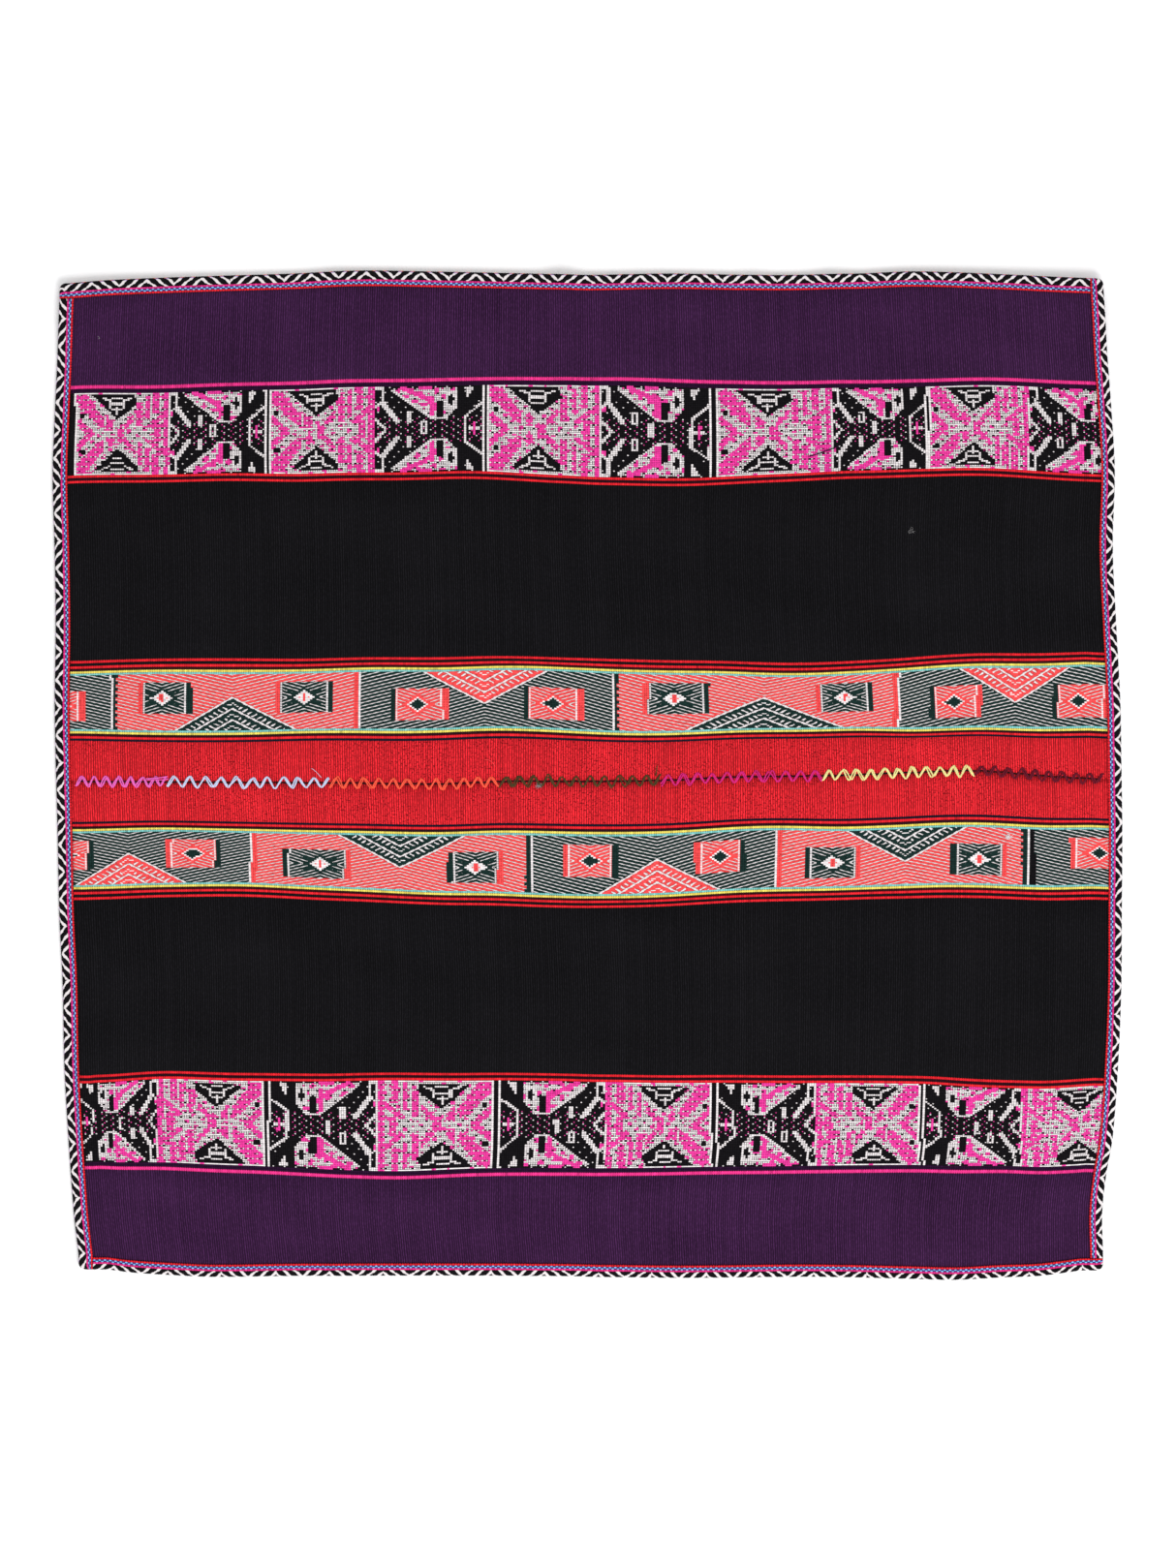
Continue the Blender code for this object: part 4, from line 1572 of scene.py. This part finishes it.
@dataclass
class Edging:
    """One length of the woven edging, from its rounded end at a corner to its butted end."""

    name: str
    node: str
    along_warp: bool
    side: int
    corner_sign: int  # the end with the rounded corner
    section: EdgingSection
    next_reach: float
    apex: float  # a place where the chevrons point outwards, in millimetres
    lie: Lie
    seed: int
    pick: float = 2.75 * MM
    corner_rounding: float = 7 * MM
    closed: float = 3.15 * MM
    swell: float = 0.22 * MM
    period: float = 55.7  # of the chevrons, in millimetres
    slant: float = 0.8  # of the lines, in millimetres outwards for each along
    stripe: float = 8.9  # from one white line to the next, outwards
    white: float = 1.45  # half a white line's width
    first_line: float = 6.7  # from the beads to the first line at an outward point
    lavender: tuple[float, float] = (7.4, 8.8)  # where the lines turn lavender, from the beads
    orange: tuple[float, float] = (8.8, 11)
    first_steps: tuple[float, ...] = (0.0, 0.35 * MM, 1.1 * MM)  # columns at the rounded end
    arc: float = 0.999  # share of the corner's arc, as in the solid
    tip: float = 0.1  # height left at the rounded end, as a share
    lip_reach: float = 0.1 * MM  # how far the slot still reaches in at the rounded end

    @property
    def half(self) -> float:
        """Half the nominal rectangle's size along this edging."""
        return self.lie.half_length if self.along_warp else self.lie.half_width

    @property
    def cross_half(self) -> float:
        """Half the nominal rectangle's size across this edging."""
        return self.lie.half_width if self.along_warp else self.lie.half_length

    def distances(self) -> Array:
        """Distances of the columns from the rounded end."""
        total = 2 * self.half - self.next_reach - self.lie.clearance
        count = round(total / self.pick)
        return np.concatenate((self.first_steps, np.linspace(0, total, count + 1)[1:]))

    def build(self, material: bpy.types.Material) -> None:
        """Args:
            material: Its finish.
        """
        distances, path = self.distances(), self.section.path
        mesh = GridMesh(self.name, len(distances) - 1, len(path) - 1)
        distance = np.interp(mesh.grid[:, 0], np.arange(len(distances)), distances)
        row = mesh.grid[:, 1]
        inward, height = self._section_at(row, distance)
        normal_in, normal_up = self._normal_at(row)
        outer = (row > 2.5) & (row < len(path) - 3.5)
        swell = np.where(mesh.in_middle & outer, self.swell, 0.0)
        inward, height = inward + swell * normal_in, height + swell * normal_up
        column, middle_row = mesh.cell_middles()
        cells = self._cells(np.interp(column, np.arange(len(distances)), distances), middle_row)
        mesh.colour(*cells.values(self.seed))
        mesh.map_corners("Pick", mesh.grid[:, 0], mesh.grid[:, 1])
        corners = mesh.corner_vertices
        numbers = np.repeat(mesh.cells, mesh.corner_counts)
        along, way = self._along(distance[corners]), self._way(row[corners])
        mesh.set_map("Line", *cells.line_map(numbers, along, way))
        mesh.map_for_bake(6)
        mesh.place(self._lay(distance, inward, height))
        close_up(mesh.mesh)
        piece = finish_piece(mesh.mesh, material, [self.node])
        self.section.length

    def _lay(self, distance: Array, inward: Array, height: Array) -> Array:
        """Lays down places given by distance from the rounded end, inwards and up."""
        place = self.corner_sign * (self.half - distance)
        sideways = self.side * (self.cross_half - inward)
        p, q = (place, sideways) if self.along_warp else (sideways, place)
        return self.lie.lay_edging(p, q, height)

    def _section_at(self, row: Array, distance: Array) -> tuple[Array, Array]:
        """The section at each place, drawn in and thinned at the rounded end.

        Args:
            row: Way round the section, in rows.
            distance: Distance from the rounded end.

        Returns:
            The distance in from the edge and the height.
        """
        path, numbers = self.section.path, np.arange(len(self.section.path))
        inward, height = np.interp(row, numbers, path[:, 0]), np.interp(row, numbers, path[:, 1])
        slot = (row < 3) | (row > len(path) - 4)
        shut = slot & (distance < self.closed)
        inward = np.where(shut, np.maximum(inward, self.section.reach - self.lip_reach), inward)
        short = np.clip(self.corner_rounding - distance, 0, self.corner_rounding)
        outer = self.corner_rounding - np.sqrt(self.corner_rounding**2 - short**2) * self.arc
        inward = outer + inward * (self.section.reach - outer) / self.section.reach
        middle = self.section.thickness / 2
        end = np.clip(distance / middle, 0, 1)
        flat = np.sqrt(1 - (1 - end) ** 2) * (1 - self.tip) + self.tip
        return inward, middle + (height - middle) * flat

    def _normal_at(self, row: Array) -> tuple[Array, Array]:
        """The way out of the section at each row."""
        path, numbers = self.section.path, np.arange(len(self.section.path))
        ahead, behind = np.minimum(row + 0.4, len(path) - 1), np.maximum(row - 0.4, 0)
        d_in = np.interp(ahead, numbers, path[:, 0]) - np.interp(behind, numbers, path[:, 0])
        d_up = np.interp(ahead, numbers, path[:, 1]) - np.interp(behind, numbers, path[:, 1])
        length = np.maximum(np.hypot(d_in, d_up), TINY)
        return d_up / length, -d_in / length

    def _along(self, distance: Array) -> Array:
        """Millimetres along the edging, from an outward point of the chevrons."""
        return self.corner_sign * (self.half - distance) / MM - self.apex

    def _way(self, row: Array) -> Array:
        """Millimetres from the nearer lip, round the section."""
        path = self.section.path
        way = np.interp(row, np.arange(len(path)), path[:, 2])
        return np.minimum(way, self.section.length - way) / MM

    def _cells(self, distance: Array, row: Array) -> CellColours:
        """Paints the cells.

        Args:
            distance: Distance of each cell from the rounded end.
            row: Way round the section, in rows.

        Returns:
            The cells' colours.
        """
        cells = CellColours(len(row), Yarn.BLACK)
        self._paint(cells, self._way(row), self._along(distance), np.floor(distance / self.pick))
        return cells

    def _paint(self, cells: CellColours, way: Array, along: Array, pick: Array) -> None:
        """Paints bead rows and chevrons.

        Args:
            cells: The cells to paint.
            way: Millimetres from the lip.
            along: Millimetres along the edging, from an outward point of the chevrons.
            pick: Each cell's number along the edging.
        """
        red, inner_blue, outer_blue, pink = np.cumsum(self.section.beads) / MM
        outward = way - pink
        shift = (FAR_ROW - pink - self.first_line) / self.stripe + 0.5
        thickness, per_way = self.white / self.stripe, 1 / self.stripe
        ruling = Ruling(0.0, self.slant / self.stripe, FAR_ROW, per_way, thickness, shift, 1.0)
        cells.rule(way > pink, Yarn.BLACK, ruling)
        cells.ruling[:, 0] = np.round(along / self.period) * self.period
        for (low, high), yarn in ((self.lavender, Yarn.LAVENDER), (self.orange, Yarn.ORANGE)):
            cells.under[(outward >= low) & (outward < high)] = yarn.number
        even = pick % 2 == 0
        cells.paint(way <= pink, Yarn.MAGENTA)
        cells.paint((way <= pink) & even, Yarn.HOT_PINK)
        turned = even ^ (way <= inner_blue)
        cells.paint(way <= outer_blue, Yarn.VIOLET)
        cells.paint((way <= outer_blue) & turned, Yarn.PALE_BLUE, 0.95, Yarn.VIOLET)
        cells.paint(way <= red, Yarn.RED, 0.95, Yarn.WINE)


def beside_path(path: Array) -> tuple[Array, Array]:
    """The level and the upward direction across a path, at each of its points."""
    way = np.gradient(path, axis=0)
    way /= np.maximum(np.linalg.norm(way, axis=1), TINY)[:, None]
    across = np.cross(way, (0, 0, 1))
    across /= np.maximum(np.linalg.norm(across, axis=1), TINY)[:, None]
    return across, np.cross(across, way)


@dataclass(frozen=True)
class Strand:
    """A round strand along a path."""

    name: str
    path: Array
    radius: float
    sides: int = 6
    tip: float = 0.35  # of the radius, at both ends

    def make(self) -> bpy.types.Mesh:
        """Makes the strand's mesh, closed at both ends."""
        mesh = GridMesh(self.name, len(self.path) - 1, self.sides, raised=False)
        index = np.round(mesh.grid[:, 0]).astype(int)
        across, up = beside_path(self.path)
        angle = mesh.grid[:, 1] / self.sides * 2 * math.pi
        taper = np.ones(len(self.path))
        taper[[0, -1]] = self.tip
        reach = self.radius * taper[index]
        offset = np.cos(angle)[:, None] * across[index] + np.sin(angle)[:, None] * up[index]
        mesh.place(self.path[index] + reach[:, None] * offset)
        close_up(mesh.mesh)
        return mesh.mesh


def joined(name: str, meshes: Sequence[bpy.types.Mesh]) -> bpy.types.Mesh:
    """Puts several meshes into one, and removes them."""
    whole = bmesh.new()
    for mesh in meshes:
        whole.from_mesh(mesh)
        bpy.data.meshes.remove(mesh)
    mesh = bpy.data.meshes.new(name)
    whole.to_mesh(mesh)
    whole.free()
    return mesh


def plied(name: str, path: Array, radius: float, lay: float) -> bpy.types.Mesh:
    """Makes a yarn of two strands that are twisted round each other along a path.

    Args:
        name: The mesh's name.
        path: The yarn's middle line, one row for each point.
        radius: A strand's radius.
        lay: The length of one turn of the twist.

    Returns:
        The mesh of both strands.
    """
    steps = np.linalg.norm(np.diff(path, axis=0), axis=1)
    way = np.concatenate(([0.0], np.cumsum(steps)))
    across, up = beside_path(path)
    strands = []
    for start in (0.0, math.pi):
        angle = way / lay * 2 * math.pi + start
        offset = np.cos(angle)[:, None] * across + np.sin(angle)[:, None] * up
        strands.append(Strand(f"{name}_ply", path + offset * radius * 0.85, radius).make())
    return joined(name, strands)


@dataclass(frozen=True)
class Stitching:
    """A length of zigzag stitching over the seam, in millimetres along the cloth."""

    yarn: Yarn
    start: float
    end: float
    pitch: float


@dataclass
class Seam:
    """The joining of the two panels: a dark thread and zigzags of coloured yarn over it."""

    lie: Lie
    web: Web
    reach: float = 5.4 * MM  # of a stitch to each side of the seam
    strand_radius: float = 0.56 * MM
    lay: float = 4.2 * MM
    spread: float = 0.75 * MM  # between the two yarns that lie side by side
    points_per_leg: int = 9
    uneven_turns: float = 0.7 * MM  # spread of the turns' places along the seam
    uneven_reach: float = 0.13  # spread of the stitches' reach, as a share
    straight: float = 0.45  # share of a leg's run that is straight, not eased
    low_point: float = -0.9 * MM  # of a stitch over the face, at its turns
    rise: float = 1.75 * MM  # of a stitch's middle over its turns
    thread_radius: float = 0.65 * MM
    lengths: tuple[Stitching, ...] = (
        Stitching(Yarn.ORCHID, -507.0, -417.1, 11.9),
        Stitching(Yarn.SKY, -417.1, -255.8, 15.2),
        Stitching(Yarn.APRICOT, -255.8, -87.8, 14.1),
        Stitching(Yarn.OLIVE, -87.8, 72.5, 13.7),
        Stitching(Yarn.MAGENTA, 72.5, 232.8, 14.8),
        Stitching(Yarn.CREAM, 232.8, 383.5, 14.0),
        Stitching(Yarn.MAROON, 383.5, 511.0, 13.4),
    )

    def surface(self, x: Array, off: Array, above: Array | float) -> Array:
        """Places over the seam.

        Args:
            x: Places along the cloth.
            off: Distances off the seam, positive on the upper panel.
            above: Heights over the panels' face.

        Returns:
            One row for each place.
        """
        p = x + self.lie.middle[0]
        for _ in range(2):
            p = p + x - (self.lie.outline(p, off)[0] - self.lie.middle[0])
        px, py = self.lie.outline(p, off)
        z = self.lie.lift(p, off) + self.lie.settle(p, off) + self.web.thickness + above
        return np.column_stack((px - self.lie.middle[0], py - self.lie.middle[1], z))

    def zigzag(self, length: Stitching, shift: float, rng: np.random.Generator) -> Array:
        """The path of one yarn of a zigzag.

        Args:
            length: The length of stitching.
            shift: How far this yarn lies beside the middle line.
            rng: Sets how uneven the stitches are.

        Returns:
            The path, one row for each point.
        """
        legs = max(2, round((length.end - length.start) / length.pitch * 2))
        turns = np.linspace(length.start, length.end, legs + 1) * MM
        turns[1:-1] += rng.normal(0, self.uneven_turns, legs - 1)
        offs = np.where(np.arange(legs + 1) % 2 == 0, -1.0, 1.0) * self.reach
        offs *= 1 + rng.normal(0, self.uneven_reach, legs + 1)
        steps = np.arange(legs * self.points_per_leg + 1) / self.points_per_leg
        aside = shift * np.sin(steps * math.pi) ** 2 * 0.5
        x = np.interp(steps, np.arange(legs + 1), turns) + aside + shift * 0.5
        leg = np.minimum(np.floor(steps), legs - 1).astype(int)
        share = steps - leg
        share = self.straight * share + (1 - self.straight) * ease(share)
        off = offs[leg] * (1 - share) + offs[leg + 1] * share
        arch = np.sqrt(np.abs(np.sin(steps * math.pi)))
        return self.surface(x, off, self.low_point + self.rise * arch)

    def build(self) -> None:
        """Builds the dark thread and every length of stitching."""
        rng = np.random.default_rng(SEED)
        ends = (self.lengths[0].start + 1, self.lengths[-1].end - 1)
        x = np.arange(ends[0], ends[1], 3.0) * MM
        thread = self.surface(x, 0.3 * MM * np.sin(x / 0.0031), 0.35 * MM)
        finish = StrandFinish("seam_thread_wool", yarn=Yarn.BLACK).make()
        mesh = Strand("seam_thread", thread, self.thread_radius).make()
        finish_piece(mesh, finish)
        for length in self.lengths:
            word = length.yarn.name.lower()
            yarns = [
                plied(f"{word}_{k}", self.zigzag(length, shift, rng), self.strand_radius, self.lay)
                for k, shift in enumerate((-self.spread, self.spread))
            ]
            finish = StrandFinish(f"{word}_yarn_wool", yarn=length.yarn).make()
            finish_piece(joined(f"seam_stitching_{word}", yarns), finish)


@dataclass(frozen=True)
class Wisp:
    """A loose end or stray float of yarn on the face of the cloth."""

    name: str
    yarn: Yarn
    radius: float
    # Columns: x, y and height over the cloth, in millimetres
    points: tuple[tuple[float, float, float], ...]
    steps: int = 16


@dataclass(frozen=True)
class Fluff:
    """A small tangle of fibres caught on the cloth, in millimetres."""

    name: str
    yarn: Yarn
    place: tuple[float, float]
    size: float
    fibres: int = 9
    radius: float = 0.16


@dataclass
class LooseYarn:
    """What has worked loose on the face: yarn ends, a stray float and bits of fluff."""

    lie: Lie
    web: Web
    twist: float = 3.4 * MM  # length of one turn
    wisps: tuple[Wisp, ...] = (
        Wisp(
            "sky_end", Yarn.SKY, 0.3,
            ((-263.5, -2.4, 1.6), (-266, 0.5, 2.6), (-270, 4.5, 2.2), (-273.5, 7, 1.2)),
        ),
        Wisp(
            "apricot_end", Yarn.CORAL, 0.35,
            ((-102, 15.6, 1), (-98, 15.2, 2), (-94, 12.6, 1.8), (-91.5, 8.6, 0.6)),
        ),
        Wisp(
            "olive_end", Yarn.OLIVE, 0.8,
            ((67.5, -1, 0.8), (68.2, 3, 2.4), (68.6, 7, 3), (69, 9.6, 2.2)),
        ),
        Wisp(
            "orchid_bunch", Yarn.ORCHID, 0.75,
            ((-438, -3.4, 1.4), (-430, -3, 2.2), (-422, -2.2, 2.2), (-416, -1, 1)),
        ),
        Wisp(
            "orchid_end", Yarn.ORCHID, 0.6,
            ((-437, -4.6, 1.2), (-428, -4.2, 1.9), (-420, -4.4, 1.5), (-415, -3.4, 1)),
        ),
        Wisp(
            "dark_float", Yarn.PLUM, 0.75,
            ((219, 316, 0.5), (228, 318.5, 1.5), (238, 322, 1.5), (249, 326, 0.6)),
        ),
    )
    fluffs: tuple[Fluff, ...] = (
        Fluff("grey_fluff", Yarn.GREY, (-48.5, -10), 2.6, 12),
        Fluff("pale_fluff", Yarn.WHITE, (417, -61), 3.2, 12),
        Fluff("pale_speck", Yarn.GREY, (-484, 433.5), 1.3, 6),
        Fluff("fine_lint", Yarn.GREY, (322, 242), 4.5, 3, 0.09),
    )

    def over(self, points: Array) -> Array:
        """Lifts places, given by x, y and height over the face in millimetres, onto the cloth."""
        x, y = points[:, 0] * MM, points[:, 1] * MM
        z = self.lie.lift(x, y) + self.lie.settle(x, y) + self.web.thickness + points[:, 2] * MM
        return np.column_stack((x, y, z))

    def build(self) -> None:
        """Builds every wisp and fluff."""
        for wisp in self.wisps:
            table = [(k, *point) for k, point in enumerate(wisp.points)]
            places = np.linspace(0, len(table) - 1, wisp.steps)
            path = np.column_stack([curve_through(table, places, column) for column in (1, 2, 3)])
            mesh = plied(wisp.name, self.over(path), wisp.radius * 0.55 * MM, self.twist)
            finish = StrandFinish(f"{wisp.name}_wool", yarn=wisp.yarn).make()
            finish_piece(mesh, finish)
        rng = np.random.default_rng(SEED + 3)
        for fluff in self.fluffs:
            fibres = [
                Strand("fibre", self._fibre(fluff, rng), fluff.radius * MM, 4).make()
                for _ in range(fluff.fibres)
            ]
            finish = StrandFinish(f"{fluff.name}_wool", yarn=fluff.yarn).make()
            finish_piece(joined(fluff.name, fibres), finish)

    def _fibre(self, fluff: Fluff, rng: np.random.Generator) -> Array:
        """The path of one curly fibre of a fluff."""
        count = 14
        turn = np.cumsum(rng.normal(0, 0.7, count)) + rng.uniform(0, 2 * math.pi)
        step = fluff.size * 0.22
        x = np.cumsum(np.cos(turn)) * step + rng.normal(0, fluff.size * 0.25)
        y = np.cumsum(np.sin(turn)) * step + rng.normal(0, fluff.size * 0.25)
        x, y = x - x.mean() * 0.8, y - y.mean() * 0.8
        height = 0.3 + rng.uniform(0.2, 1.1) * np.abs(np.sin(np.linspace(0, 5, count)))
        return self.over(np.column_stack((fluff.place[0] + x, fluff.place[1] + y, height)))


# The studio


@dataclass
class Studio:
    """The pale floor, the soft light and the camera straight above."""

    camera_place: tuple[float, float, float] = (0.0005, -0.0086, 3.672)
    lens: float = 85.0  # millimetres, as the sensor's width
    sensor_width: float = 36.0
    floor_drop: float = 0.4 * MM
    floor_size: float = 30.0
    floor_colour: Colour = (0.98, 0.98, 0.985)
    floor_roughness: float = 0.9
    floor_mottle: float = 0.985  # brightness of the floor's darkest spots
    sky_strength: float = 0.86
    key_place: tuple[float, float, float] = (1.1, -2.6, 3.5)
    key_size: float = 2.4
    key_power: float = 112.0

    def build_floor(self) -> None:
        """Builds the floor, which isn't part of the cloth."""
        grid = bmesh.new()
        bmesh.ops.create_grid(grid, x_segments=1, y_segments=1, size=self.floor_size / 2)
        bmesh.ops.translate(grid, verts=grid.verts, vec=(0, 0, -self.floor_drop))
        mesh = bpy.data.meshes.new("floor")
        grid.to_mesh(mesh)
        grid.free()
        nodes = Nodes("floor_paper")
        coordinates = nodes.add("ShaderNodeTexCoord", {}, {}, "Object")
        tone = nodes.noise(coordinates, 3.0, 2.0)
        darker = tuple(self.floor_mottle * c for c in self.floor_colour)
        colour = nodes.mix(tone, self.floor_colour, darker)
        nodes.dress(colour, self.floor_roughness)
        mesh.materials.append(nodes.material)
        floor = bpy.data.objects.new("floor", mesh)
        bpy.context.scene.collection.objects.link(floor)

    def build_light(self) -> None:
        """Builds the even sky and the soft light from the near side."""
        world = bpy.data.worlds.new("studio_sky")
        world.use_nodes = True
        background = world.node_tree.nodes["Background"]
        background.inputs["Color"].default_value = (1.0, 1.0, 1.0, 1.0)
        background.inputs["Strength"].default_value = self.sky_strength
        bpy.context.scene.world = world
        light = bpy.data.lights.new("key", "AREA")
        light.shape = "DISK"
        light.size = self.key_size
        light.energy = self.key_power
        key = bpy.data.objects.new("key", light)
        key.location = self.key_place
        key.rotation_euler = (Vector((0, 0, 0)) - key.location).to_track_quat("-Z", "Y").to_euler()
        bpy.context.scene.collection.objects.link(key)

    def build_camera(self) -> None:
        """Builds the camera, which looks straight down with the cloth's upper side up."""
        data = bpy.data.cameras.new("camera")
        data.lens = self.lens
        data.sensor_width = self.sensor_width
        data.clip_start, data.clip_end = 0.1, 50.0
        camera = bpy.data.objects.new("camera", data)
        camera.location = self.camera_place
        camera.rotation_euler = Euler((0.0, 0.0, 0.0))
        bpy.context.scene.collection.objects.link(camera)
        bpy.context.scene.camera = camera
        bpy.context.scene.view_settings.view_transform = "Standard"

    def build(self) -> None:
        """Builds all of it."""
        self.build_camera()
        self.build_floor()
        self.build_light()


# The web's stripes. Columns: where a stripe starts, in millimetres from the seam, and its yarn
STRIPES = (
    (0.0, Yarn.GROUND_RED),
    (40.5, Yarn.NAVY),
    (42.7, Yarn.RED),
    (45.3, Yarn.WINE),
    (47.8, Yarn.YELLOW),
    (50.2, Yarn.TURQUOISE),
    (52.3, Yarn.CORAL),
    (107.0, Yarn.TURQUOISE),
    (109.0, Yarn.YELLOW),
    (111.4, Yarn.BROWN),
    (113.8, Yarn.RED),
    (116.4, Yarn.BLACK),
    (119.0, Yarn.RED),
    (121.5, Yarn.GROUND_BLACK),
    (296.7, Yarn.RED),
    (299.1, Yarn.WINE),
    (301.9, Yarn.RED),
    (304.5, Yarn.PINK),
    (389.0, Yarn.PLUM),
    (393.3, Yarn.HOT_PINK),
    (396.8, Yarn.PURPLE),
)


def build_edgings(lie: Lie, material: bpy.types.Material) -> None:
    """Builds the four lengths of edging that chase each other round the cloth.

    Args:
        lie: How the cloth lies.
        material: The edging's finish.
    """
    top, right, bottom, left = (
        EdgingSection(reach)
        for reach in (lie.top_reach, lie.right_reach, lie.bottom_reach, lie.left_reach)
    )
    apexes = {"top": -162.7, "right": 12.0, "bottom": -20.0, "left": 213.6}
    for name, along_warp, side, corner_sign, section, after in (
        ("top", True, 1, -1, top, right),
        ("right", False, 1, 1, right, bottom),
        ("bottom", True, -1, 1, bottom, left),
        ("left", False, -1, -1, left, top),
    ):
        Edging(
            name=f"edging_{name}_woven",
            node=f"edging_{name}",
            along_warp=along_warp,
            side=side,
            corner_sign=corner_sign,
            section=section,
            next_reach=after.reach,
            apex=apexes[name],
            lie=lie,
            seed=SEED + len(name),
        ).build(material)


def main() -> None:
    """Builds the studio and the cloth."""
    logging.basicConfig(level=logging.INFO, format="%(name)s: %(message)s")
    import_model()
    Studio().build()
    lie, web = Lie(), Web()
    ground = GroundFinish("panel_web_wool", stripes=STRIPES).make()
    cells = CellFinish("figured_wool").make()
    for name, node, side, pink, coral in (
        ("upper_panel", "panel_upper", 1, UPPER_PINK, UPPER_CORAL),
        ("lower_panel", "panel_lower", -1, LOWER_PINK, LOWER_CORAL),
    ):
        pink_figures = PinkFigures(figure_rows(PINK_ROWS), pink)
        coral_figures = CoralFigures(figure_rows(CORAL_ROWS), coral)
        Panel(name, node, side, lie, web, pink_figures, coral_figures).build(ground, cells)
    build_edgings(lie, CellFinish("edging_wool").make())
    Seam(lie, web).build()
    LooseYarn(lie, web).build()


if __name__ == "__main__":
    main()
